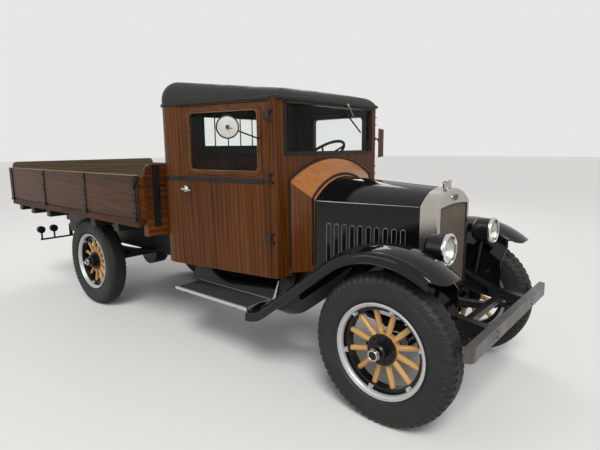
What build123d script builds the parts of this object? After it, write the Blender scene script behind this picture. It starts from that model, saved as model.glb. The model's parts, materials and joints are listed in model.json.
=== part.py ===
from build123d import *
import os
from math import cos, sin, radians, hypot

os.makedirs("parts", exist_ok=True)

# Light flat-bed lorry with a varnished wooden cab. Millimetres, +X forward, +Y to the lorry's
# left, +Z up. Sizes are written from the rear axle and shifted at export to the lorry's middle.
# The right side, at negative Y, is drawn, and the left side is its mirror image.

WHEELBASE = 3300.0
HALF_TRACK = 650.0
MIDDLE_X = 1208.0
RUNNING_GAP = 0.08
SHEET = 4.0

TYRE_RADIUS = 435.0
TYRE_HALF = 82.0
AXLE_Z = TYRE_RADIUS
RIM_RADIUS = 277.0
RIM_HALF = 70.0
RIM_SEAT = 264.0
FELLOE_OUT = 254.0
FELLOE_IN = 226.0
FELLOE_HALF = 27.0
HUB_DISC = 90.0
HUB_DISC_HALF = 24.0
HUB_FLANGE = 12.0
HUB_BARREL = 46.0
REAR_BARREL = 56.0
SPINDLE = 20.0
SPOKES = 12
SPOKE_RADIUS = 16.5
SPOKE_ROOT = 70.0
DRUM_RADIUS = 178.0

RAIL_TOP = 690.0
RAIL_DEPTH = 130.0
RAIL_OUT = 365.0
RAIL_FLANGE = 60.0
RAIL_WALL = 6.0
RAIL_REAR = -1240.0
RAIL_FRONT = 3767.0
RAIL_HORN = 536.0
RAIL_HORN_TOP = 576.0
ENGINE_MOUNT_X = 3090.0
RADIATOR_MOUNT_X = 3345.0

FRONT_SPRING_Z = 472.0
REAR_SPRING_Z = 548.0
REAR_SPRING_IN = 396.0
REAR_SPRING_OUT = 460.0
LEAF = 9.0
FRONT_LEAVES = 6
REAR_LEAVES = 8

KINGPIN_Y = HALF_TRACK - 112.0
BEAM_END = KINGPIN_Y - 128.0
KINGPIN_RADIUS = 13.0
KINGPIN_EYE = 24.0
EYE_LOW = 412.0
EYE_HIGH = 458.0
FORK_GAP = 5.0
FORK_THICK = 20.0
STEER_ARM = 170.0
TIE_Y = KINGPIN_Y
TIE_PIN = 8.0
TIE_Z = 370.0

CAB_TAPER = 0.15
CAB_FRONT_X = 2450.0
CAB_FRONT_Y = 620.0
CAB_FACE = 2462.0
FACE_CORNER = 40.0
CAB_REAR_X = 1342.0
CAB_CORNER = 150.0
CAB_WALL = 36.0
CAB_BOTTOM = 672.0
CAB_TOP = 1858.0
FLOOR_Z = 705.0
FLOOR_THICK = 24.0
CUSHION_Z = 955.0

ROOF_RISE = 187.0
ROOF_FALL = 0.12
ROOF_CROWN = 20.0
ROOF_CROWN_Y = 750.0
ROOF_SIDE_ROUND = 130.0
ROOF_FRONT_ROUND = 115.0
ROOF_WALL = 28.0
ROOF_LIP = 14.0
ROOF_PROUD = 2.0

DOOR_REAR = 1611.0
DOOR_FRONT = 2412.0
DOOR_TOP = CAB_TOP - 22.0
DOOR_GAP = 5.0
WINDOW_REAR = 1722.0
WINDOW_FRONT = 2322.0
WINDOW_LOW = 1390.0
WINDOW_HIGH = DOOR_TOP - 46.0
WINDOW_CORNER = 34.0
GLASS = 5.0
HINGE_OUT = 10.0
HINGE_PIN = 4.0
HINGE_BARREL = 7.0
DOOR_HINGE_HALF = 24.0
DOOR_HINGES = (948.0, 1350.0, DOOR_TOP - 85.0)
HANDLE_Z = 1250.0

SCREEN_LOW = 1504.0
SCREEN_HIGH = CAB_TOP - 28.0
SCREEN_HALF = 523.0
REAR_WINDOW_HALF = 320.0
REAR_WINDOW_LOW = 1562.0
REAR_WINDOW_HIGH = CAB_TOP - 63.0

MIRROR = (2272.0, -850.0, CAB_TOP - 184.0)
MIRROR_RADIUS = 70.0
LEFT_MIRROR = (2432.0, 712.0, CAB_TOP - 286.0)
MIRROR_ARM_Z = CAB_TOP - 251.0

COWL_HALF = 494.0
COWL_SHOULDER = 1326.0
COWL_APEX = 1468.0
COWL_SHEET = 22.0
COWL_FRONT = 18.0
HOOD_REAR_X = 2567.0
HOOD_FRONT_X = 3292.0
HOOD_REAR_HALF = 345.0
HOOD_FRONT_HALF = 248.0
HOOD_SHOULDER = 1189.0
HOOD_REAR_APEX = 1334.0
HOOD_FRONT_APEX = 1289.0
HOOD_GAP = 5.0
HOOD_HINGE_Y = 8.0
HOOD_HINGE_DROP = 5.0
HOOD_BARREL = 6.4

LOUVRES = 10
LOUVRE_FIRST = 2662.0
LOUVRE_PITCH = 57.5
LOUVRE_WIDTH = 26.0
LOUVRE_LOW = 760.0
LOUVRE_HIGH = 1038.0
LOUVRE_PROUD = 10.0

SHELL_FRONT_X = 3404.0
SHELL_WALL = 10.0
SHELL_EDGE = 14.0
GRILLE_HALF = 210.0
GRILLE_LOW = 650.0
GRILLE_TOP = 1180.0
SHELL_BOTTOM = 620.0
CAP_X = 3348.0

LAMP_X = 3533.0
LAMP_Y = 367.0
LAMP_Z = 978.0
LAMP_RADIUS = 90.0
LAMP_LENGTH = 135.0
LENS_RADIUS = LAMP_RADIUS - 12.0

FENDER_RADIUS = 565.0
FENDER_CENTRE_Z = 425.0
FENDER_OUT = 775.0
FENDER_IN = 485.0
FENDER_SKIRT = 50.0
FENDER_NOSE = 110.0
FENDER_TIP = 40.0
FENDER_TAIL = 36.8
SLOPE_DROP = 110.0
SLOPE_FRONT = WHEELBASE + 295.0
STEP_Z = 468.0
STEP_THICK = 14.0
STEP_REAR = 1490.0
STEP_FRONT = WHEELBASE - 1000.0
STEP_OUT = 760.0
STEP_IN = 512.0

BUMPER_X = 3806.0
BUMPER_HALF = 707.0
BUMPER_LOW = 510.0
BUMPER_HIGH = 590.0
BUMPER_DEPTH = 45.0
BUMPER_WALL = 6.0

BED_REAR = -1365.0
BED_FRONT = 1325.0
BED_OUT = 925.0
BED_BOARD = 30.0
BED_EDGE = 60.0
BED_FLOOR_TOP = 1000.0
BED_FLOOR_THICK = 35.0
BED_SILL_TOP = 865.0
HEAD_SILL = 60.0
HEAD_THICK = 28.0
HEAD_TOP = 1425.0
HEAD_HALF = BED_OUT - 57.0
SIDE_TOP = 1340.0
TAIL_TOP = 1406.0
TAIL_HALF = BED_OUT - 39.0
STRAP = 8.0
STRAP_HALF = 24.0
BOARD_GAP = 5.0
BOARD_LOW = BED_FLOOR_TOP + BOARD_GAP
BED_HINGE_OUT = 12.0
BED_HINGE_Z = BED_FLOOR_TOP - 6.0
BED_BARREL = 7.0
SIDE_STRAPS = (-1300.0, -445.0, 425.0, 1250.0)
TAIL_STRAPS = (-640.0, 0.0, 640.0)

WHEEL_CENTRE = (2105.0, 330.0, 1462.0)
COLUMN_FOOT = (2470.0, 330.0, 975.0)
STEER_RADIUS = 212.0
STEER_RIM = 12.0
SHAFT = 10.0


def block(x0, x1, y0, y1, z0, z1):
    size = Box(x1 - x0, y1 - y0, z1 - z0)
    return Pos((x0 + x1) / 2, (y0 + y1) / 2, (z0 + z1) / 2) * size


def plate_y(points, y0, y1):
    face = make_face(Polyline(*[(x, y0, z) for x, z in points], close=True))
    return extrude(face, amount=y1 - y0, dir=(0, 1, 0))


def plate_x(points, x0, x1):
    face = make_face(Polyline(*[(x0, y, z) for y, z in points], close=True))
    return extrude(face, amount=x1 - x0, dir=(1, 0, 0))


def plate_z(points, z0, z1):
    face = make_face(Polyline(*[(x, y, z0) for x, y in points], close=True))
    return extrude(face, amount=z1 - z0, dir=(0, 0, 1))


def rod(start, end, radius):
    a = Vector(*start)
    along = Vector(*end) - a
    place = Plane(origin=a, z_dir=along)
    return place * Cylinder(radius, along.length, align=(Align.CENTER, Align.CENTER, Align.MIN))


def upright(x, y, z0, z1, radius):
    return rod((x, y, z0), (x, y, z1), radius)


def fuse(shapes):
    whole = shapes[0]
    for shape in shapes[1:]:
        whole = whole + shape
    return whole


def left_of(shape):
    return mirror(shape, about=Plane.XZ)


def both(shape):
    return [shape, left_of(shape)]


def ring(points, x, y, z):
    # points are (radius, offset along the axle) of a closed section
    face = make_face(Polyline(*[(x + r, y + a, z) for r, a in points], close=True))
    return revolve(face, axis=Axis((x, y, z), (0, 1, 0)))


def rounded_board(half, low, high, corner):
    # an upright board's outline in (y, z), its two top corners cut in two steps
    step = corner * 0.29
    right = [(-half, low), (-half, high - corner), (-half + step, high - step), (-half + corner, high)]
    return right + [(-y, z) for y, z in reversed(right)]


def save(name, shapes):
    if not isinstance(shapes, (list, tuple)):
        shapes = [shapes]
    solids = []
    for shape in shapes:
        solids += [Pos(-MIDDLE_X, 0, 0) * solid for solid in shape.solids()]
    whole = solids[0] if len(solids) == 1 else Compound(children=solids)
    export_step(whole, f"parts/{name}.step")


# Wheels: out is -1 for the right side and +1 for the left side

# (radius, half width) from the bead out to the tread
TYRE_SIDE = [(RIM_SEAT, 58), (RIM_RADIUS + 2, 60), (300, 73), (345, TYRE_HALF), (392, 80), (422, 65),
             (TYRE_RADIUS, 30)]
RIM_SIDE = [(RIM_RADIUS, RIM_HALF), (RIM_RADIUS, RIM_HALF - 8), (RIM_SEAT, RIM_HALF - 11)]


def tyre(x, y):
    return ring(TYRE_SIDE + [(r, -a) for r, a in reversed(TYRE_SIDE)], x, y, AXLE_Z)


def rim(x, y):
    section = RIM_SIDE + [(r, -a) for r, a in reversed(RIM_SIDE)]
    section += [(FELLOE_OUT, -RIM_HALF + 14), (FELLOE_OUT, -FELLOE_HALF), (FELLOE_IN, -FELLOE_HALF)]
    section += [(FELLOE_IN, FELLOE_HALF), (FELLOE_OUT, FELLOE_HALF), (FELLOE_OUT, RIM_HALF - 14)]
    return ring(section, x, y, AXLE_Z)


def hub(x, y, out, rear):
    barrel = REAR_BARREL if rear else HUB_BARREL
    nose = 100.0 if rear else 112.0
    disc = HUB_DISC_HALF
    flange = disc + HUB_FLANGE
    bore = SPINDLE + RUNNING_GAP
    points = [(bore, -62), (barrel, -62), (barrel, -flange), (HUB_DISC, -flange), (HUB_DISC, -disc),
              (barrel, -disc), (barrel, disc), (HUB_DISC, disc), (HUB_DISC, flange), (barrel, flange),
              (barrel, 78), (barrel - 8, 86), (34, 86), (34, nose), (0, nose), (0, 60), (bore, 60)]
    whole = ring([(r, out * a) for r, a in points], x, y, AXLE_Z)
    if rear:
        inside = DRUM_RADIUS - 8
        drum = [(barrel, -42), (DRUM_RADIUS, -42), (DRUM_RADIUS, -96), (inside, -96), (inside, -52),
                (barrel, -52)]
        whole = whole + ring([(r, out * a) for r, a in drum], x, y, AXLE_Z)
    return whole


def spokes(x, y, rear):
    barrel = REAR_BARREL if rear else HUB_BARREL
    disc = HUB_DISC_HALF
    whole = ring([(barrel, -disc), (HUB_DISC, -disc), (HUB_DISC, disc), (barrel, disc)], x, y, AXLE_Z)
    reach = FELLOE_IN + 6
    for i in range(SPOKES):
        turn = radians(360.0 / SPOKES * (i + 0.5))
        inner = (x + SPOKE_ROOT * cos(turn), y, AXLE_Z + SPOKE_ROOT * sin(turn))
        outer = (x + reach * cos(turn), y, AXLE_Z + reach * sin(turn))
        whole = whole + rod(inner, outer, SPOKE_RADIUS)
    return whole & rod((x, y - 40, AXLE_Z), (x, y + 40, AXLE_Z), FELLOE_IN)


# name, x of the axle, side, whether it is a rear wheel
for name, x, out, rear in [("front_right", WHEELBASE, -1, False), ("front_left", WHEELBASE, 1, False),
                           ("rear_right", 0.0, -1, True), ("rear_left", 0.0, 1, True)]:
    save("tyre_" + name, tyre(x, out * HALF_TRACK))
    save("rim_" + name, [rim(x, out * HALF_TRACK), hub(x, out * HALF_TRACK, out, rear)])
    save("spokes_" + name, spokes(x, out * HALF_TRACK, rear))


# Chassis frame, springs and axles

def frame_rails():
    low = RAIL_TOP - RAIL_DEPTH
    side = [(RAIL_REAR, low), (3400, low), (3560, RAIL_HORN), (RAIL_FRONT, RAIL_HORN),
            (RAIL_FRONT, RAIL_HORN_TOP), (3560, 606), (3360, RAIL_TOP), (RAIL_REAR, RAIL_TOP)]
    rail = plate_y(side, -RAIL_OUT, RAIL_FLANGE - RAIL_OUT)
    hollow = [(RAIL_REAR - 1, low + RAIL_WALL), (3396, low + RAIL_WALL), (3540, RAIL_HORN + 8),
              (3540, 598), (3356, RAIL_TOP - RAIL_WALL), (RAIL_REAR - 1, RAIL_TOP - RAIL_WALL)]
    rail = rail - plate_y(hollow, RAIL_WALL - RAIL_OUT, RAIL_FLANGE + 1 - RAIL_OUT)
    inner = RAIL_OUT - RAIL_WALL
    pieces = [rail, left_of(rail)]
    for x in (-1200.0, -640.0, 640.0, 1400.0):
        pieces.append(block(x - 40, x + 40, -inner, inner, low + 12, low + 18))
        pieces.append(block(x - 3, x + 3, -inner, inner, low + 12, RAIL_TOP - 12))
    pieces.append(block(3610, 3650, -inner, inner, RAIL_HORN + 9, RAIL_HORN_TOP + 9))
    return fuse(pieces)


def leaf_pack(x_mid, reach, z_top, rise, leaves, y0, y1):
    # one stepped outline: each leaf under the main leaf is shorter than the one above
    def at(x, depth):
        return (x_mid + x, z_top + rise * (x / reach) ** 2 - depth)

    halves = [reach * (1 - i / (leaves + 0.6)) for i in range(leaves)]
    under = []
    for i, half in enumerate(halves):
        under.append(at(half, (i + 1) * LEAF))
        if i + 1 < leaves:
            under.append(at((half + halves[i + 1]) / 2, (i + 1) * LEAF))
            under.append(at(halves[i + 1], (i + 1) * LEAF))
    top = [at(reach * k / 4, 0.0) for k in range(-4, 5)]
    left = [(2 * x_mid - x, z) for x, z in reversed(under)]
    return plate_y(top + under + [at(0.0, leaves * LEAF)] + left, y0, y1)


def springs():
    y0 = -RAIL_OUT + 1
    y1 = y0 + 56
    reach = 430.0
    front = leaf_pack(WHEELBASE, reach, FRONT_SPRING_Z, 46, FRONT_LEAVES, y0, y1)
    for x in (WHEELBASE - reach, WHEELBASE + reach):
        front = front + rod((x, y0, 516), (x, y1, 516), 20)
    shackle_x = WHEELBASE - reach
    front = front + block(shackle_x - 18, shackle_x + 18, y0, y1, 516, RAIL_TOP - RAIL_DEPTH)
    rear_reach = 600.0
    rear = leaf_pack(0.0, rear_reach, REAR_SPRING_Z, 40, REAR_LEAVES, -REAR_SPRING_OUT, -REAR_SPRING_IN)
    for x in (-rear_reach, rear_reach):
        rear = rear + rod((x, -REAR_SPRING_OUT, 584), (x, -RAIL_OUT, 584), 18)
    return both(front) + both(rear)


def front_axle():
    top = FRONT_SPRING_Z - FRONT_LEAVES * LEAF
    low = top - 62
    half = BEAM_END + 10
    beam = block(WHEELBASE - 30, WHEELBASE + 30, -half, half, low, top)
    for x0, x1 in ((-31, -9), (9, 31)):
        beam = beam - block(WHEELBASE + x0, WHEELBASE + x1, -half - 1, half + 1, low + 12, top - 12)
    rise = [(-KINGPIN_Y, EYE_LOW), (-KINGPIN_Y, EYE_HIGH), (-KINGPIN_Y + 48, EYE_HIGH), (-BEAM_END, top),
            (-BEAM_END, low), (-BEAM_END - 60, low), (-KINGPIN_Y + 40, EYE_LOW)]
    end = plate_x(rise, WHEELBASE - 22, WHEELBASE + 22)
    end = end + upright(WHEELBASE, -KINGPIN_Y, EYE_LOW, EYE_HIGH, KINGPIN_EYE)
    end = end - upright(WHEELBASE, -KINGPIN_Y, EYE_LOW - 10, EYE_HIGH + 10, KINGPIN_RADIUS + RUNNING_GAP)
    return beam + end + left_of(end)


def knuckle():
    x, y = WHEELBASE, -KINGPIN_Y
    low = EYE_LOW - FORK_GAP - FORK_THICK
    high = EYE_HIGH + FORK_GAP + FORK_THICK
    pieces = [block(x - 24, x + 24, y - 38, y - 28, low, high)]
    for z in (low, high - FORK_THICK):
        pieces.append(upright(x, y, z, z + FORK_THICK, KINGPIN_EYE))
        pieces.append(block(x - KINGPIN_EYE, x + KINGPIN_EYE, y - 30, y, z, z + FORK_THICK))
    pieces.append(upright(x, y, low, high, KINGPIN_RADIUS))
    pieces.append(rod((x, y - 30, AXLE_Z), (x, -HALF_TRACK - 54, AXLE_Z), SPINDLE))
    tie_x = x - STEER_ARM
    arm = [(x - 20, y - 16), (x - 20, y + 16), (tie_x, -TIE_Y + 14), (tie_x, -TIE_Y - 14)]
    pieces.append(plate_z(arm, low, low + 12))
    pieces.append(upright(tie_x, -TIE_Y, low, low + 12, 18))
    pieces.append(upright(tie_x, -TIE_Y, TIE_Z - 20, low + 3, TIE_PIN))
    return fuse(pieces)


def tie_rod():
    x = WHEELBASE - STEER_ARM
    whole = rod((x, -TIE_Y + 6, TIE_Z), (x, TIE_Y - 6, TIE_Z), 13)
    for y in (-TIE_Y, TIE_Y):
        whole = whole + upright(x, y, TIE_Z - 15, TIE_Z + 16.5, 18)
    for y in (-TIE_Y, TIE_Y):
        whole = whole - upright(x, y, TIE_Z - 30, TIE_Z + 30, TIE_PIN + RUNNING_GAP)
    return whole


def rear_axle():
    end = HALF_TRACK - 64
    axle = rod((0, -end, AXLE_Z), (0, end, AXLE_Z), 40)
    axle = axle + rod((0, -end - 110, AXLE_Z), (0, end + 110, AXLE_Z), SPINDLE)
    axle = axle + rod((0, -75, AXLE_Z), (0, 75, AXLE_Z), 150)
    seat = (REAR_SPRING_IN + REAR_SPRING_OUT) / 2
    for y in (-seat, seat):
        axle = axle + block(-60, 60, y - 34, y + 34, AXLE_Z, REAR_SPRING_Z - REAR_LEAVES * LEAF)
    return axle + rod((100, 0, AXLE_Z), (1956, 0, 560), 42)


def engine_block():
    inner = RAIL_OUT - RAIL_WALL
    crankcase = block(2640, 3180, -150, 150, 480, 760)
    head = block(2660, 3160, -120, 120, 760, 1060)
    gearbox = block(1960, 2640, -130, 130, 500, 660)
    mount = block(ENGINE_MOUNT_X - 30, ENGINE_MOUNT_X + 30, -inner, inner, 572, 640)
    return crankcase + head + gearbox + mount


save("frame_rails", frame_rails())
save("springs", springs())
save("front_axle", front_axle())
save("knuckle_right", knuckle())
save("knuckle_left", left_of(knuckle()))
save("tie_rod", tie_rod())
save("rear_axle", rear_axle())
save("engine_block", engine_block())


# Cab: plan outlines are inset by a depth from the outer skin

def side_y(x, inset=0.0):
    lean = hypot(1.0, CAB_TAPER)
    return -CAB_FRONT_Y - CAB_TAPER * (CAB_FRONT_X - x) + inset * lean


def cab_outline(inset, face):
    # the right half of the plan, from the middle of the rear round to the front corner
    lean = hypot(1.0, CAB_TAPER)
    normal = Vector(CAB_TAPER / lean, -1.0 / lean, 0)
    rear_x = CAB_REAR_X + CAB_CORNER
    rear = Vector(rear_x, side_y(rear_x, CAB_CORNER), 0)
    front_x = face - FACE_CORNER
    front = Vector(front_x, side_y(front_x, FACE_CORNER), 0)
    r = CAB_CORNER - inset
    f = max(FACE_CORNER - inset, 2.0)
    shift = FACE_CORNER - inset - f
    front = front + Vector(shift, -shift, 0)
    back = Vector(-1, 0, 0)
    ahead = Vector(1, 0, 0)
    rear_mid = (normal + back).normalized()
    front_mid = (normal + ahead).normalized()
    return [rear + back * r, rear + rear_mid * r, rear + normal * r,
            front + normal * f, front + front_mid * f, front + ahead * f]


def cab_plan(inset, z0, z1, face=CAB_FACE):
    a, b, c, d, e, g = [(p.X, p.Y, z0) for p in cab_outline(inset, face)]

    def flip(p):
        return (p[0], -p[1], p[2])

    edges = [ThreePointArc(a, b, c), Line(c, d), ThreePointArc(d, e, g), Line(g, flip(g)),
             ThreePointArc(flip(g), flip(e), flip(d)), Line(flip(d), flip(c)),
             ThreePointArc(flip(c), flip(b), flip(a)), Line(flip(a), a)]
    return extrude(make_face(Wire(edges)), amount=z1 - z0, dir=(0, 0, 1))


def cab_ring(outer, inner, z0, z1):
    return cab_plan(outer, z0, z1) - cab_plan(inner, z0 - 1, z1 + 1)


def rail_notch(x0, x1):
    return block(x0, x1, -RAIL_OUT - 5, RAIL_OUT + 5, CAB_BOTTOM - 1, RAIL_TOP)


def cab_back():
    walls = cab_ring(0, CAB_WALL, CAB_BOTTOM, CAB_TOP)
    rear = walls & block(CAB_REAR_X - 10, DOOR_REAR - DOOR_GAP, -900, 900, CAB_BOTTOM, CAB_TOP)
    rear = rear - block(CAB_REAR_X - 10, CAB_REAR_X + CAB_WALL + 5, -REAR_WINDOW_HALF,
                        REAR_WINDOW_HALF, REAR_WINDOW_LOW, REAR_WINDOW_HIGH)
    rails = walls & block(DOOR_REAR - DOOR_GAP, DOOR_FRONT + DOOR_GAP, -900, 900,
                          DOOR_TOP + DOOR_GAP, CAB_TOP)
    return rear + rails - rail_notch(CAB_REAR_X - 10, CAB_REAR_X + 60)


def cab_front():
    walls = cab_ring(0, CAB_WALL, CAB_BOTTOM, CAB_TOP)
    x0, x1 = CAB_FACE - 60, CAB_FACE + 10
    front = walls & block(DOOR_FRONT + DOOR_GAP, x1, -900, 900, CAB_BOTTOM, CAB_TOP)
    screen = block(x0, x1, -SCREEN_HALF, SCREEN_HALF, SCREEN_LOW, SCREEN_HIGH)
    legs = block(x0, x1, -440, 440, FLOOR_Z + FLOOR_THICK, 1300)
    return front - screen - legs - rail_notch(x0, x1)


def cab_floor():
    top = FLOOR_Z + FLOOR_THICK
    floor = cab_plan(CAB_WALL + 6, FLOOR_Z, top)
    edge = cab_plan(CAB_WALL, FLOOR_Z, top)
    edge = edge & block(CAB_REAR_X, DOOR_REAR - 10, -900, 900, FLOOR_Z, top)
    seat_box = block(CAB_REAR_X + CAB_WALL + 30, 1850, -600, 600, top, CUSHION_Z)
    seat_box = seat_box - block(CAB_REAR_X + CAB_WALL + 50, 1830, -580, 580, FLOOR_Z, CUSHION_Z - 20)
    rear_bearer = block(1400, 1470, -640, 640, RAIL_TOP, FLOOR_Z)
    front_bearer = block(2300, 2370, -570, 570, RAIL_TOP, FLOOR_Z)
    return fuse([floor, edge, seat_box, rear_bearer, front_bearer])


def window_outline():
    c = WINDOW_CORNER
    step = c * 0.29
    x0, x1, z0, z1 = WINDOW_REAR, WINDOW_FRONT, WINDOW_LOW, WINDOW_HIGH
    return [(x0 + c, z0), (x1 - c, z0), (x1 - step, z0 + step), (x1, z0 + c), (x1, z1 - c),
            (x1 - step, z1 - step), (x1 - c, z1), (x0 + c, z1), (x0 + step, z1 - step), (x0, z1 - c),
            (x0, z0 + c), (x0 + step, z0 + step)]


def door():
    walls = cab_ring(0, CAB_WALL, CAB_BOTTOM, DOOR_TOP)
    panel = walls & block(DOOR_REAR, DOOR_FRONT, -900, 0, CAB_BOTTOM, DOOR_TOP)
    return panel - plate_y(window_outline(), -900, 0)


def door_glass():
    depth = (CAB_WALL - GLASS) / 2
    pane = cab_ring(depth, depth + GLASS, WINDOW_LOW, WINDOW_HIGH)
    return pane & plate_y(window_outline(), -900, 0)


def hinge_place():
    x = DOOR_FRONT + 4
    return x, side_y(x) - HINGE_OUT


def door_hinge_leaves():
    # the moving halves: a bored barrel on a leaf that is turned in against the door
    x, y = hinge_place()
    leaf_x = x - 46
    pieces = []
    for z in DOOR_HINGES:
        low, high = z - DOOR_HINGE_HALF, z + DOOR_HINGE_HALF
        leaf = block(leaf_x, x - 2, y - 3, y + 3, low, high)
        foot = block(leaf_x, leaf_x + 20, y - 3, side_y(leaf_x + 10) + 1, low, high)
        barrel = upright(x, y, low, high, HINGE_BARREL)
        pieces.append(barrel + leaf + foot - upright(x, y, low - 5, high + 5, HINGE_PIN + RUNNING_GAP))
    return pieces


def door_hinges():
    # the fixed halves: a pin through each barrel, with an eye above and below it
    x, y = hinge_place()
    eye = 9.4
    reach = DOOR_HINGE_HALF + 0.6 + eye
    foot_x = x + 14
    pieces = []
    for z in DOOR_HINGES:
        pin = upright(x, y, z - reach, z + reach, HINGE_PIN)
        for low in (z - reach, z + reach - eye):
            pin = pin + upright(x, y, low, low + eye, HINGE_BARREL)
            pin = pin + block(x, foot_x + 16, y - 3, y + 3, low, low + eye)
            pin = pin + block(foot_x, foot_x + 16, y - 3, side_y(foot_x) + 1, low, low + eye)
        pieces.append(pin)
    return [piece - cab_front() for piece in pieces]


def door_lever():
    x = DOOR_REAR + 51
    y = side_y(x)
    spindle = rod((x, y + 1, HANDLE_Z), (x, y - 42, HANDLE_Z), 9)
    boss = rod((x, y, HANDLE_Z), (x, y - 6, HANDLE_Z), 24)
    return spindle + boss + rod((x, y - 38, HANDLE_Z), (x + 92, y - 30, HANDLE_Z - 7), 8)


def door_mirror():
    x = WINDOW_FRONT + 16
    y = side_y(x)
    back = Vector(0.8, -0.6, 0)
    centre = Vector(*MIRROR)
    stud = centre + back * 20
    head = rod(tuple(centre - back * 6), tuple(centre + back * 6), MIRROR_RADIUS)
    head = head + rod(tuple(centre), tuple(stud), 9)
    arm = rod((x, y + 1, MIRROR_ARM_Z), (x, y - 26, MIRROR_ARM_Z), 6)
    arm = arm + rod((x, y - 24, MIRROR_ARM_Z), tuple(stud), 5)
    return head + arm + rod((x, y, MIRROR_ARM_Z), (x, y - 5, MIRROR_ARM_Z), 16)


def post_mirror():
    # the driver's tall mirror, carried by the front post and not by the door
    x = CAB_FACE - 22
    y = -side_y(x)
    head = Pos(*LEFT_MIRROR) * Rot(0, 0, -60) * Box(112, 18, 240)
    arm = rod((x, y - 1, MIRROR_ARM_Z), (x, y + 46, MIRROR_ARM_Z), 6)
    arm = arm + rod((x, y + 44, MIRROR_ARM_Z), LEFT_MIRROR, 6)
    arm = arm + rod((x, y, MIRROR_ARM_Z), (x, y + 5, MIRROR_ARM_Z), 14)
    return head + arm - cab_front()


def save_doors():
    panel = door()
    latch = [piece - panel for piece in door_hinge_leaves() + [door_lever()]]
    save("door_right", panel)
    save("door_left", left_of(panel))
    save("door_glass_right", door_glass())
    save("door_glass_left", left_of(door_glass()))
    save("door_fittings_right", latch + [door_mirror() - panel])
    save("door_fittings_left", [left_of(piece) for piece in latch])
    hinges = door_hinges()
    save("door_hinges", hinges + [left_of(piece) for piece in hinges])


def roof_volume(inset):
    # an arched top that falls to the front, rolled over all round into the cab's plan
    long_face = CAB_FACE + 200
    below = CAB_TOP - 300
    body = cab_plan(inset, below, CAB_TOP + 400, long_face + FACE_CORNER)
    body = body & block(0, long_face, -900, 900, below, CAB_TOP + 400)
    x0, w = CAB_REAR_X - 100, 900.0
    edge = CAB_TOP + ROOF_RISE + ROOF_FALL * 100 - inset
    side = edge - ROOF_CROWN * ((w / ROOF_CROWN_Y) ** 2 - 1)
    arch = [Line((x0, -w, below - 400), (x0, -w, side)),
            ThreePointArc((x0, -w, side), (x0, 0, edge + ROOF_CROWN), (x0, w, side)),
            Line((x0, w, side), (x0, w, below - 400)), Line((x0, w, below - 400), (x0, -w, below - 400))]
    reach = 1500 * hypot(1.0, ROOF_FALL)
    body = body & extrude(make_face(Wire(arch)), amount=reach, dir=(1, 0, -ROOF_FALL))
    tops = body.edges().filter_by(lambda e: e.center().Z > CAB_TOP + 10 and e.center().X < long_face - 20)
    tops = tops.filter_by(lambda e: abs(e.position_at(0).Z - e.position_at(1).Z) < 0.9 * e.length)
    return fillet(tops, ROOF_SIDE_ROUND - inset)


def roof_nose(inset):
    # the side profile of the front: the crown line, then a round down to the lip
    front = CAB_FACE + ROOF_LIP - inset
    r = ROOF_FRONT_ROUND - inset
    x = front - r
    top = CAB_TOP + ROOF_RISE + ROOF_CROWN - ROOF_FALL * (x - CAB_REAR_X) - inset
    start, end = (x, -900, top), (front, -900, top - r)
    middle = (x + r * sin(radians(45)), -900, top - r + r * cos(radians(45)))
    rear, sky, bottom = CAB_REAR_X - 50, CAB_TOP + 400, CAB_TOP - 100
    edges = [Line((rear, -900, bottom), (rear, -900, sky)), Line((rear, -900, sky), (x, -900, sky)),
             Line((x, -900, sky), start), ThreePointArc(start, middle, end),
             Line(end, (front, -900, bottom)), Line((front, -900, bottom), (rear, -900, bottom))]
    return extrude(make_face(Wire(edges)), amount=1800, dir=(0, 1, 0))


def roof():
    face = CAB_FACE + ROOF_LIP - ROOF_PROUD
    outer = roof_volume(-ROOF_PROUD) & roof_nose(0.0)
    outer = outer & cab_plan(-ROOF_PROUD, CAB_TOP, CAB_TOP + 400, face)
    inner = roof_volume(ROOF_WALL) & roof_nose(ROOF_WALL + ROOF_LIP)
    return outer - inner


def cab_glass():
    front = block(CAB_FACE - 22, CAB_FACE - 16, -SCREEN_HALF, SCREEN_HALF, SCREEN_LOW, SCREEN_HIGH)
    rear = block(CAB_REAR_X + 15, CAB_REAR_X + 21, -REAR_WINDOW_HALF, REAR_WINDOW_HALF,
                 REAR_WINDOW_LOW, REAR_WINDOW_HIGH)
    return [front, rear]


def seat():
    wall = CAB_REAR_X + CAB_WALL
    cushion = block(wall + 100, 1880, -620, 620, CUSHION_Z, CUSHION_Z + 140)
    cushion = fillet(cushion.edges().filter_by(Axis.Y), 30)
    back = block(wall, wall + 100, -600, 600, CUSHION_Z + 25, 1470)
    back = fillet(back.edges().filter_by(Axis.Y).group_by(Axis.Z)[-1], 30)
    return [cushion, back]


save("cab_back", cab_back())
save("cab_front", cab_front())
save("cab_floor", cab_floor())
save("post_mirror", post_mirror())
save_doors()
save("roof", roof())
save("cab_glass", cab_glass())
save("seat", seat())


# Cowl, hood and radiator share one arched section

def arch_height(y, half, shoulder, apex):
    rise = apex - shoulder
    radius = (half * half + rise * rise) / (2 * rise)
    return apex - radius + (radius * radius - y * y) ** 0.5


def arch_face(x, half, shoulder, apex, bottom, inset=0.0):
    w = half - inset
    top = apex - inset
    edges = [Line((x, -w, bottom), (x, -w, shoulder)),
             ThreePointArc((x, -w, shoulder), (x, 0, top), (x, w, shoulder)),
             Line((x, w, shoulder), (x, w, bottom)), Line((x, w, bottom), (x, -w, bottom))]
    return make_face(Wire(edges))


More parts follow.
